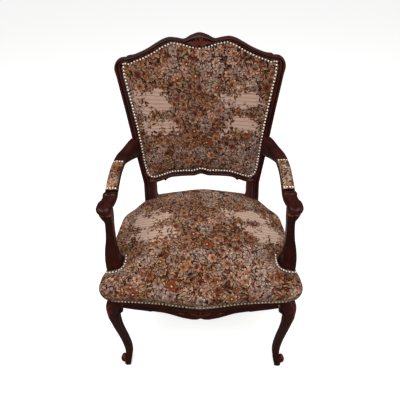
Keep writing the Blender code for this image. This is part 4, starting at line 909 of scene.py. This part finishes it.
def makeArms():
    rings = [armRing(*station) for station in armStations()]
    for name, side in (("left", -1), ("right", 1)):
        arm = woodPiece("openArm." + name, mirrored(rings, side), mahoganyDeep)
        rideAs(arm, "polished_mahogany", "arm_" + name)


# arm supports
supportSection = [(-1.0, -0.5), (-0.93, -0.78), (-0.75, -0.96), (-0.38, -1.0), (-0.18, -0.97), (0.0, -0.92),
                  (0.18, -0.97), (0.38, -1.0), (0.75, -0.96), (0.93, -0.78), (1.0, -0.5), (1.0, 0.5), (0.75, 1.0),
                  (-0.75, 1.0), (-1.0, 0.5)]
# height share, x and y of the centre, half widths; the foot flares over the rail, the top into the knuckle
supportShape = [
    (0.0, 0.2750, 0.1390, 0.0270, 0.0255), (0.10, 0.2747, 0.1395, 0.0280, 0.0250),
    (0.17, 0.2760, 0.1396, 0.0255, 0.0225), (0.25, 0.2771, 0.1398, 0.0227, 0.0190),
    (0.42, 0.2746, 0.1420, 0.0180, 0.0165), (0.58, 0.2699, 0.1495, 0.0139, 0.0155),
    (0.75, 0.2663, 0.1580, 0.0120, 0.0150), (0.87, 0.2633, 0.1610, 0.0125, 0.0165),
    (0.94, 0.2648, 0.1610, 0.0155, 0.0190), (1.0, 0.2662, 0.1612, 0.0184, 0.0205),
]


def supportStations():
    s = armShape
    topZ = s["height"] - s["thick"] / 2 - jointGap
    footZ = seatFrame["railTop"] + jointGap
    return [(x, y, blend(footZ, topZ, share), half, deep) for share, x, y, half, deep in supportShape]


def supportRings(grow=0.0):
    return [[Vector((x + u * (half + grow), y + v * (deep + grow), z)) for u, v in supportSection]
            for x, y, z, half, deep in supportStations()]


def makeSupports():
    for name, side in (("left", -1), ("right", 1)):
        piece = woodPiece("armSupport." + name, mirrored(supportRings(), side), mahoganyUp, along=5)
        rideAs(piece, "polished_mahogany", "arm_support_" + name)


def clothPiece(name, points, faces, flat, material, facing, even=False):
    # an open sheet that faces one way, with the flat cloth as its UV map, thickened inwards
    obj = newPiece(name, points, faces, material)
    if sum(f.normal.dot(Vector(facing)) * f.area for f in obj.data.polygons) < 0:
        obj.data.flip_normals()
    layer = obj.data.uv_layers.new(name="clothPlan")
    for loop in obj.data.loops:
        layer.data[loop.index].uv = flat[loop.vertex_index]
    solid = obj.modifiers.new("cloth thickness", "SOLIDIFY")
    solid.thickness = clothThick
    solid.offset = -1.0
    solid.use_even_offset = even
    return obj


def crownedCloth(name, rings, centre, plan, planCentre, material, facing, even=True):
    # cloth through rings that close on a centre
    points, faces = loftParts(rings)
    count = len(rings[0])
    last = len(points) - count
    faces += [(last + j, last + (j + 1) % count, len(points)) for j in range(count)]
    flat = [p for ring in plan for p in ring] + [planCentre]
    return clothPiece(name, points + [centre], faces, flat, material, facing, even)


seatShape = {"hem": 0.0045, "bulge": 0.0135, "edgeZ": 0.447, "crownZ": 0.503, "rearLift": 0.026, "centreY": 0.265,
             "cut": 0.0013, "unevenness": 0.0030, "dip": 0.018, "dipReach": 0.040, "dipFlat": 0.026,
             # the edge: share of the bulge, height over the rail and share of the rear's lift; then the crown
             "edge": ((0.20, -0.009, 0.0), (0.78, 0.001, 0.0), (0.97, 0.013, 0.3), (0.92, 0.023, 0.6)),
             "edgeBulge": 0.55, "crownShares": (0.94, 0.84, 0.66, 0.48, 0.30, 0.15), "crownPower": 2.4}


def seatOutline():
    # plan of the cover's edge, how far each place bulges and how much higher the rear is
    postIn = between(rearPost["inner"], 0.40)
    front = [(x, y, 1.0, 0.0) for x, y in frontLine[:-1]] + [(*frontLine[-1], 1.25, 0.0)]
    sides = [(x, y, 1.4, 0.0) for x, y in sideLine[:2]] + [(x, y, 1.0, 0.0) for x, y in sideLine[2:-2]]
    sides += [(*sideLine[-2], 0.5, 0.0), (*sideLine[-1], 0.0, 0.0)]
    rear = [(blend(postIn, seatFrame["halfRear"], 0.4), rearFaceY - 0.012, 0.0, 0.15),
            (postIn + 0.003, rearFaceY, 0.0, 0.35), (postIn * 0.5, rearFaceY, 0.3, 0.85),
            (0.0, rearFaceY, 0.3, 1.25)]
    half = front + sides + rear
    return half + [(-x, y, b, lift) for x, y, b, lift in reversed(half[1:-1])]


def outward(points):
    # the way out of a plan outline at each of its points, longer at corners
    normals = []
    count = len(points)
    for i in range(count):
        a, b, c = (Vector(points[(i + k) % count][:2]) for k in (-1, 0, 1))
        u = (b - a).normalized()
        v = (c - b).normalized()
        n = Vector(((u + v).y, -(u + v).x)).normalized()
        normals.append(n / max(0.7, n.dot(Vector((u.y, -u.x)))))
    return normals


def seatRings():
    # the hem under the rail, the wall, the bulging edge and the crown
    s = seatShape
    skin = clothThick + jointGap
    points = seatOutline()
    normals = outward(points)
    top = seatFrame["railTop"]
    rings = []
    for z in (nailLevel - s["hem"] - clothThick, nailLevel, nailLevel + s["hem"] + clothThick):
        rings.append([Vector((x + n.x * skin, y + n.y * skin, z)) for (x, y, b, lift), n in zip(points, normals)])
    for share, height, raised in (*s["edge"], (s["edgeBulge"], s["edgeZ"] - top, 1.0)):
        ring = []
        for (x, y, b, lift), n in zip(points, normals):
            out = skin + s["bulge"] * share * b
            ring.append(Vector((x + n.x * out, y + n.y * out, top + height + s["rearLift"] * lift * raised)))
        rings.append(ring)
    for f in s["crownShares"]:
        ring = []
        for x, y, b, lift in points:
            edge = s["edgeZ"] + s["rearLift"] * lift
            z = edge + (s["crownZ"] - edge) * (1 - f ** s["crownPower"])
            ring.append(Vector((x * f, s["centreY"] + (y - s["centreY"]) * f, z)))
        rings.append(ring)
    return rings


def seatCutters():
    # the room round each arm support and rear post
    cutters = []
    cut = seatShape["cut"]
    for name, side in (("left", -1), ("right", 1)):
        rings = supportRings(cut)[:6]
        rings.insert(0, [Vector((p.x, p.y, seatFrame["railTop"] - 0.0002)) for p in rings[0]])
        cutters.append(newPiece("supportCut." + name, *loftParts(mirrored(rings, side), capped=True), None))
        rings = []
        for z in (0.34, 0.415, 0.445, 0.470, 0.506, 0.530):
            ring = postSection(z)
            xs = [p.x for p in ring]
            ys = [p.y for p in ring]
            left, right, near, far = min(xs) - cut, max(xs) + cut, min(ys) - cut, max(ys) + cut
            rings.append([Vector((left, near, z)), Vector((right, near, z)), Vector((right, far, z)),
                          Vector((left, far, z))])
        cutters.append(newPiece("postCut." + name, *loftParts(mirrored(rings, side), capped=True), None))
    return cutters


def clothPlanOf(rings, centre):
    # the cloth laid flat: each ring at its distance along the cloth from the middle
    plan = []
    count = len(rings[0])
    for j in range(count):
        line = [centre] + [rings[i][j] for i in range(len(rings) - 1, -1, -1)]
        reach = 0.0
        spots = []
        for a, b in zip(line, line[1:]):
            reach += (b - a).length
            flat = Vector((b.x - centre.x, b.y - centre.y))
            spots.append(flat.normalized() * reach if flat.length > 1e-6 else Vector((0, 0)))
        plan.append(spots[::-1])
    return [[plan[j][i] for j in range(count)] for i in range(len(rings))]


def soften(points, amount, size, seed):
    # slow swells and hollows, as stuffing settles
    waves = random.Random(seed)
    parts = [(Vector([waves.uniform(-1, 1) for k in range(3)]).normalized() / size, waves.uniform(0, math.tau))
             for i in range(7)]
    return [amount * sum(math.sin(w.dot(p) * math.tau + a) for w, a in parts) / 7 for p in points]


def makeSeat():
    # domed and a little uneven, pulled down where it is nailed round the arm supports
    s = seatShape
    rings = refineRings(refineAround(seatRings(), 5), 3)
    centre = Vector((0.0, s["centreY"], s["crownZ"]))
    flat = [p for ring in rings for p in ring]
    swell = soften(flat, s["unevenness"], 0.16, 5)
    count = len(rings[0])
    foot = Vector(supportStations()[0][:2])
    for i, ring in enumerate(rings):
        share = smoothStep(i / len(rings) * 2.2 - 0.7)
        for j, p in enumerate(ring):
            p.z += swell[i * count + j] * share
            near = max(0.0, (Vector((abs(p.x), p.y)) - foot).length - s["dipFlat"])
            above = smoothStep((p.z - seatFrame["railTop"]) / 0.02)
            p.z -= s["dip"] * (1 - smoothStep(near / s["dipReach"])) * above
    plan = clothPlanOf(rings, centre)
    seat = crownedCloth("sprungSeat", rings, centre, plan, (0.0, 0.0), tapestrySeat, (0, -0.3, 1))
    cutters = seatCutters()
    for cutter in cutters:
        cut = seat.modifiers.new("cut round " + cutter.name, "BOOLEAN")
        cut.operation = "DIFFERENCE"
        cut.solver = "EXACT"
        cut.use_self = True
        cut.object = cutter
    bakeModifiers(seat)
    for cutter in cutters:
        bpy.data.objects.remove(cutter, do_unlink=True)
    return rideAs(seat, "tapestry", "seat_cover", "seat_stuffing")


def backRings(levels, outline):
    # the outline drawn in towards its middle, at each level's share and distance off the middle sheet
    middle = (nailLine[0][1] + nailLine[-1][1]) / 2
    fine = [tuple(p) for p in curveThrough(outline, 4, closed=True)]
    rings = [[Vector((x * f, backY(x * f, middle + (z - middle) * f) + n, middle + (z - middle) * f))
              for x, z in fine] for f, n in levels]
    return refineRings(rings, 3), middle


def makeBack():
    s = backShape
    edge = s["rebate"] - jointGap - clothThick
    levels = [(1.0, edge), (0.985, edge), (0.965, edge - 0.0008)]
    levels += [(f, -s["crown"] * rise) for f, rise in s["swell"]]
    rings, middle = backRings(levels, backHem)
    swell = soften([p for ring in rings for p in ring], s["unevenness"], 0.17, 11)
    count = len(rings[0])
    for i, ring in enumerate(rings):
        share = smoothStep(i / len(rings) * 2.0 - 0.5)
        for j, p in enumerate(ring):
            p.y += swell[i * count + j] * share
    centre = Vector((0.0, backY(0, middle) - s["crown"], middle))
    plan = [[(p.x, (p.z - middle) * 1.05) for p in ring] for ring in rings]
    back = crownedCloth("stuffedBack", rings, centre, plan, (0.0, 0.0), tapestryBack, (0, -0.3, 1))
    bakeModifiers(back)
    rideAs(back, "tapestry", "back_front_cover")

    rearN = s["rear"] + jointGap + clothThick
    levels = [(f, rearN + rise) for f, rise in s["rearSwell"]]
    rings, middle = backRings(levels, backNails)
    centre = Vector((0.0, backY(0, middle) + levels[-1][1], middle))
    plan = [[(-p.x + 0.7, (p.z - middle) * 1.05) for p in ring] for ring in rings]
    rear = crownedCloth("rearCover", rings, centre, plan, (0.7, 0.0), tapestryPlain, (0, 1, 0), even=False)
    bakeModifiers(rear)
    rideAs(rear, "tapestry", "back_rear_cover")
    return back


padSection = [(-1.0, 0.0), (-1.0, 0.20), (-0.97, 0.42), (-0.88, 0.64), (-0.70, 0.82), (-0.42, 0.95), (0.0, 1.0),
              (0.42, 0.95), (0.70, 0.82), (0.88, 0.64), (0.97, 0.42), (1.0, 0.20), (1.0, 0.0)]


def armAt(y):
    # middle, half width and top of the arm under the pad
    stations = sorted(armStations(), key=lambda item: item[1])
    x, half, lift, thick = (between([(item[1], item[k]) for item in stations], y) for k in (0, 2, 3, 4))
    return x, half, armShape["height"] + lift + 0.55 * armShape["thick"] / 2 * thick


def padRing(y, share):
    x, half, top = armAt(y)
    base = top + jointGap + 0.0007
    return [Vector((x + u * (half - 0.002), y, base + v * armShape["padRise"] * share)) for u, v in padSection]


def makeArmPads():
    s = armShape
    middle = (s["padFront"] + s["padRear"]) / 2
    ends = ((0.0, 0.25), (0.009, 0.42), (0.022, 0.84), (middle - 0.02 - s["padFront"], 1.0))
    spots = [(s["padFront"] + d, share) for d, share in ends]
    spots += [(s["padRear"] - d, share) for d, share in reversed(ends)]
    rings = refineRings([padRing(y, share) for y, share in spots], 4)
    rings = [curveThrough(ring, 2) for ring in rings]
    swell = soften([p for ring in rings for p in ring], s["unevenness"], 0.06, 3)
    pads = []
    for name, side in (("left", -1), ("right", 1)):
        sideRings = mirrored(rings, side)
        count = len(sideRings[0])
        points, plan = [], []
        for i, ring in enumerate(sideRings):
            across = 0.0
            for j, p in enumerate(ring):
                if 0 < j < count - 1:
                    p.z += swell[i * count + j] * math.sin(math.pi * i / (len(sideRings) - 1))
                if j:
                    across += (p - ring[j - 1]).length
                points.append(p)
                plan.append((across + 0.3 * side + 0.05, p.y))
        faces = [(i * count + j, i * count + j + 1, (i + 1) * count + j + 1, (i + 1) * count + j)
                 for i in range(len(sideRings) - 1) for j in range(count - 1)]
        pad = bakeModifiers(clothPiece("armPad." + name, points, faces, plan, tapestryPads, (0, 0, 1)))
        rideAs(pad, "tapestry", "arm_pad_cover_" + name)
        pads.append((pad, side))
    return pads


# dome nails: one node tree strings them along a path and seats each on the cloth under it
nailHead = {"radius": 0.0039, "height": 0.0032, "pitch": 0.0105, "padPitch": 0.0092, "padInset": 0.0045, "seed": 4}


def domeNailTree():
    tree = bpy.data.node_groups.new("dome nails along a hem", "GeometryNodeTree")
    for name, kind in (("Path", "NodeSocketGeometry"), ("Cloth", "NodeSocketObject"), ("Nails", "NodeSocketInt"),
                       ("Radius", "NodeSocketFloat"), ("Height", "NodeSocketFloat"), ("Seed", "NodeSocketInt"),
                       ("Metal", "NodeSocketMaterial")):
        tree.interface.new_socket(name=name, in_out="INPUT", socket_type=kind)
    tree.interface.new_socket(name="Nails", in_out="OUTPUT", socket_type="NodeSocketGeometry")
    add = partial(addNode, tree)
    given = tree.nodes.new("NodeGroupInput").outputs
    path = add("GeometryNodeMeshToCurve", given["Path"])
    spaced = add("GeometryNodeResampleCurve", path, Count=given["Nails"], mode="COUNT")
    dots = add("GeometryNodeCurveToPoints", spaced, mode="EVALUATED")
    cloth = add("GeometryNodeObjectInfo", given["Cloth"], transform_space="RELATIVE", output="Geometry")
    near = add("GeometryNodeProximity", cloth, target_element="FACES", output="Position")
    seated = add("GeometryNodeSetPosition", dots, Position=near)
    facing = add("GeometryNodeSampleNearestSurface", cloth, Value=add("GeometryNodeInputNormal"),
                 data_type="FLOAT_VECTOR")
    turn = add("FunctionNodeAlignRotationToVector", Vector=facing, axis="Z")
    ball = add("GeometryNodeMeshUVSphere", Segments=10, Rings=6, Radius=given["Radius"])
    ratio = add("ShaderNodeMath", given["Height"], given["Radius"], operation="DIVIDE")
    dome = add("GeometryNodeTransform", ball, Scale=add("ShaderNodeCombineXYZ", 1.0, 1.0, ratio))
    sizes = add("FunctionNodeRandomValue", Min=0.93, Max=1.05, Seed=given["Seed"], data_type="FLOAT")
    placed = add("GeometryNodeInstanceOnPoints", seated, Instance=dome, Rotation=turn, Scale=sizes)
    smooth = add("GeometryNodeSetShadeSmooth", add("GeometryNodeRealizeInstances", placed))
    metal = add("GeometryNodeSetMaterial", smooth, Material=given["Metal"])
    tree.links.new(metal, tree.nodes.new("NodeGroupOutput").inputs[0])
    return tree


nailTree = domeNailTree()
# nail heads painted with their highlight in the middle and their shade round the rim
paleBrassPaintedLight = brassWithPaintedLight("cream enamelled brass", "#fff4e4")
wornBrassPaintedLight = brassWithPaintedLight("worn enamelled brass", "#f4dcb4")


def nailRow(name, path, closed, cloth, metal, pitch=nailHead["pitch"]):
    path = [Vector(p) for p in path]
    edges = [(i, i + 1) for i in range(len(path) - 1)] + ([(len(path) - 1, 0)] if closed else [])
    length = sum((path[b] - path[a]).length for a, b in edges)
    count = max(2, round(length / pitch) + (0 if closed else 1))
    mesh = bpy.data.meshes.new(name)
    mesh.from_pydata([(p.x, p.y - footLine, p.z) for p in path], edges, [])
    row = newObject(name, mesh, None)
    strung = row.modifiers.new("nails", "NODES")
    strung.node_group = nailTree
    values = {"Cloth": cloth, "Nails": count, "Radius": nailHead["radius"], "Height": nailHead["height"],
              "Seed": nailHead["seed"], "Metal": metal}
    for item in nailTree.interface.items_tree:
        if item.in_out == "INPUT" and item.name in values:
            strung[item.identifier] = values[item.name]
    row.update_tag()
    bpy.context.view_layer.update()
    rideAs(bakeModifiers(row), "tapestry")


def topOf(obj, x, y):
    # the upper surface of a piece straight above or below a place in plan
    mesh = obj.data
    tree = BVHTree.FromPolygons([v.co for v in mesh.vertices], [tuple(f.vertices) for f in mesh.polygons])
    hit = tree.ray_cast(Vector((x, y - footLine, 0.75)), Vector((0, 0, -1)))[0]
    return (hit.x, hit.y + footLine, hit.z)


def makeNails(seat, back, pads):
    edge = backShape["rebate"] - jointGap - clothThick
    nailRow("backNails", [(x, backY(x, z) + edge, z) for x, z in backNails], True, back, paleBrassPaintedLight)
    points = seatOutline()
    skin = clothThick + jointGap
    line = [(x + n.x * skin, y + n.y * skin, nailLevel) for (x, y, b, lift), n in zip(points, outward(points))]
    half = [p for p in line[:len(line) // 2 + 1] if p[1] < seatFrame["postFront"] - 0.008]
    row = [(-x, y, z) for x, y, z in reversed(half[1:])] + half
    nailRow("seatNails", row, False, seat, wornBrassPaintedLight)
    for name, side in (("left", -1), ("right", 1)):
        x, y, z, wide, deep = supportStations()[0]
        margin = seatShape["cut"] + seatShape["hem"] + 0.001
        inner, front = x - wide - margin, y - deep - margin
        row = [(x + wide - 0.004, front), (inner + 0.004, front), (inner, front + 0.006), (inner, y + deep - 0.006)]
        nailRow("supportNails." + name, [topOf(seat, side * px, py) for px, py in row], False, seat, paleBrassPaintedLight)
    for pad, side in pads:
        for place, y in (("front", armShape["padFront"] + nailHead["padInset"]),
                         ("rear", armShape["padRear"] - nailHead["padInset"])):
            x, half, top = armAt(y)
            row = [(side * (x + u * half), y, top + 0.012) for u in (-0.70, -0.25, 0.25, 0.70)]
            nailRow("padNails." + place + (".left" if side < 0 else ".right"), row, False, pad, paleBrassPaintedLight,
                    nailHead["padPitch"])


print("building the frame")
makeRearPosts()
makeBackRail("crestRail", crestRail, "crest_rail")
makeBackRail("lowerBackRail", lowerRail, "back_lower_rail")
makeCrestCarving()
makeSeatRails()
makeApronCarving()
makeFrontLegs()
makeArms()
makeSupports()
print("covering the seat, back and arms")
seat = makeSeat()
back = makeBack()
pads = makeArmPads()
print("driving the nails")
makeNails(seat, back, pads)

# what stays from the frame inside and under the seat gets its real finish
beech, steel = sawnBeech(), springSteel()
webbing = wovenYarn("jute webbing", 2.0, "#a58c66", "#5f4c33")
hessian = wovenYarn("hessian", 1.6, "#b09a74", "#6b583d")
wadding = wovenYarn("cotton wadding", 6.0, "#c9bda6", "#a39680")
finishes = {"rear_rail": mahoganyAcross, "corner_block": beech, "seat_web": webbing, "spring_hessian": hessian,
            "back_canvas": hessian, "seat_stuffing": wadding, "back_stuffing": wadding, "arm_pad_left": wadding,
            "arm_pad_right": wadding, "seat_spring": steel, "block_screw": steel}
for node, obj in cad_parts.items():
    for start, finish in finishes.items():
        if node.startswith(start):
            obj.data.materials.clear()
            obj.data.materials.append(finish)

# pale floor, soft light from all round and one wide lamp above the front
studio = {"floor": "#f1f1f0", "floorRadius": 9.0, "floorGlow": 0.55, "bounce": "#6e6a66", "surround": 0.40,
          "reflected": 0.16, "lampSize": 2.0, "aimHeight": 0.45,
          "lamps": {"key": (54.0, (-0.5, -0.9, 3.0)), "fill": (16.2, (1.6, -1.2, 1.9))}}


def makeStudio():
    bpy.ops.mesh.primitive_circle_add(vertices=64, radius=studio["floorRadius"], fill_type="NGON")
    floor = bpy.context.object
    floor.name = "studioFloor"
    material, shader, add = newMaterial("pale studio floor")
    seen = add("ShaderNodeLightPath", output="Is Camera Ray")
    pale = add("ShaderNodeMix", seen, linear(studio["bounce"]), linear(studio["floor"]), data_type="RGBA")
    feed(shader, {"Base Color": pale, "Roughness": 0.9, "Specular IOR Level": 0.0})
    glow = add("ShaderNodeMath", seen, studio["floorGlow"], operation="MULTIPLY")
    glow = add("ShaderNodeEmission", Strength=glow)
    tree = material.node_tree
    tree.links.new(add("ShaderNodeAddShader", shader.outputs[0], glow), tree.nodes["Material Output"].inputs[0])
    floor.data.materials.append(material)

    # the world is white to the camera, and dimmer to the wood and the nails so that they keep their colour
    world = scene.world or bpy.data.worlds.new("studio")
    scene.world = world
    world.use_nodes = True
    tree = world.node_tree
    tree.nodes.clear()
    rays = addNode(tree, "ShaderNodeLightPath").node.outputs
    level = addNode(tree, "ShaderNodeMapRange", rays["Is Glossy Ray"], To_Min=studio["surround"],
                    To_Max=studio["reflected"])
    level = addNode(tree, "ShaderNodeMath", level, rays["Is Camera Ray"], operation="MAXIMUM")
    sky = addNode(tree, "ShaderNodeBackground", (1.0, 1.0, 1.0, 1.0), level)
    tree.links.new(sky, tree.nodes.new("ShaderNodeOutputWorld").inputs[0])
    for name, (power, place) in studio["lamps"].items():
        light = bpy.data.lights.new(name, "AREA")
        light.energy = power
        light.size = studio["lampSize"]
        lamp = bpy.data.objects.new(name, light)
        scene.collection.objects.link(lamp)
        lamp.location = place
        aim = Vector((0, 0, studio["aimHeight"])) - Vector(place)
        lamp.rotation_euler = aim.to_track_quat("-Z", "Y").to_euler()


# fitted to the photograph: turns in radians, place in metres, lens in pixels of its 400
photoView = {"yaw": -0.03359, "pitch": 0.73408, "roll": -0.02828, "place": (0.026, -0.508, 1.2964), "lens": 327.93,
             "frame": 400, "sensor": 36.0}


def makeCamera():
    s = photoView
    yaw, pitch, roll = s["yaw"], s["pitch"], s["roll"]
    ahead = Vector((math.sin(yaw) * math.cos(pitch), math.cos(yaw) * math.cos(pitch), -math.sin(pitch)))
    level = Vector((math.cos(yaw), -math.sin(yaw), 0.0))
    upright = level.cross(ahead)
    right = level * math.cos(roll) + upright * math.sin(roll)
    up = upright * math.cos(roll) - level * math.sin(roll)
    lens = bpy.data.cameras.new("photo view")
    lens.sensor_width = s["sensor"]
    lens.lens = s["lens"] / s["frame"] * s["sensor"]
    camera = bpy.data.objects.new("photo view", lens)
    scene.collection.objects.link(camera)
    x, y, z = s["place"]
    camera.matrix_world = Matrix((
        (right.x, up.x, -ahead.x, x), (right.y, up.y, -ahead.y, y - footLine), (right.z, up.z, -ahead.z, z),
        (0, 0, 0, 1)))
    scene.camera = camera


makeStudio()
makeCamera()
scene.view_settings.view_transform = "Standard"
print("studio and camera ready")
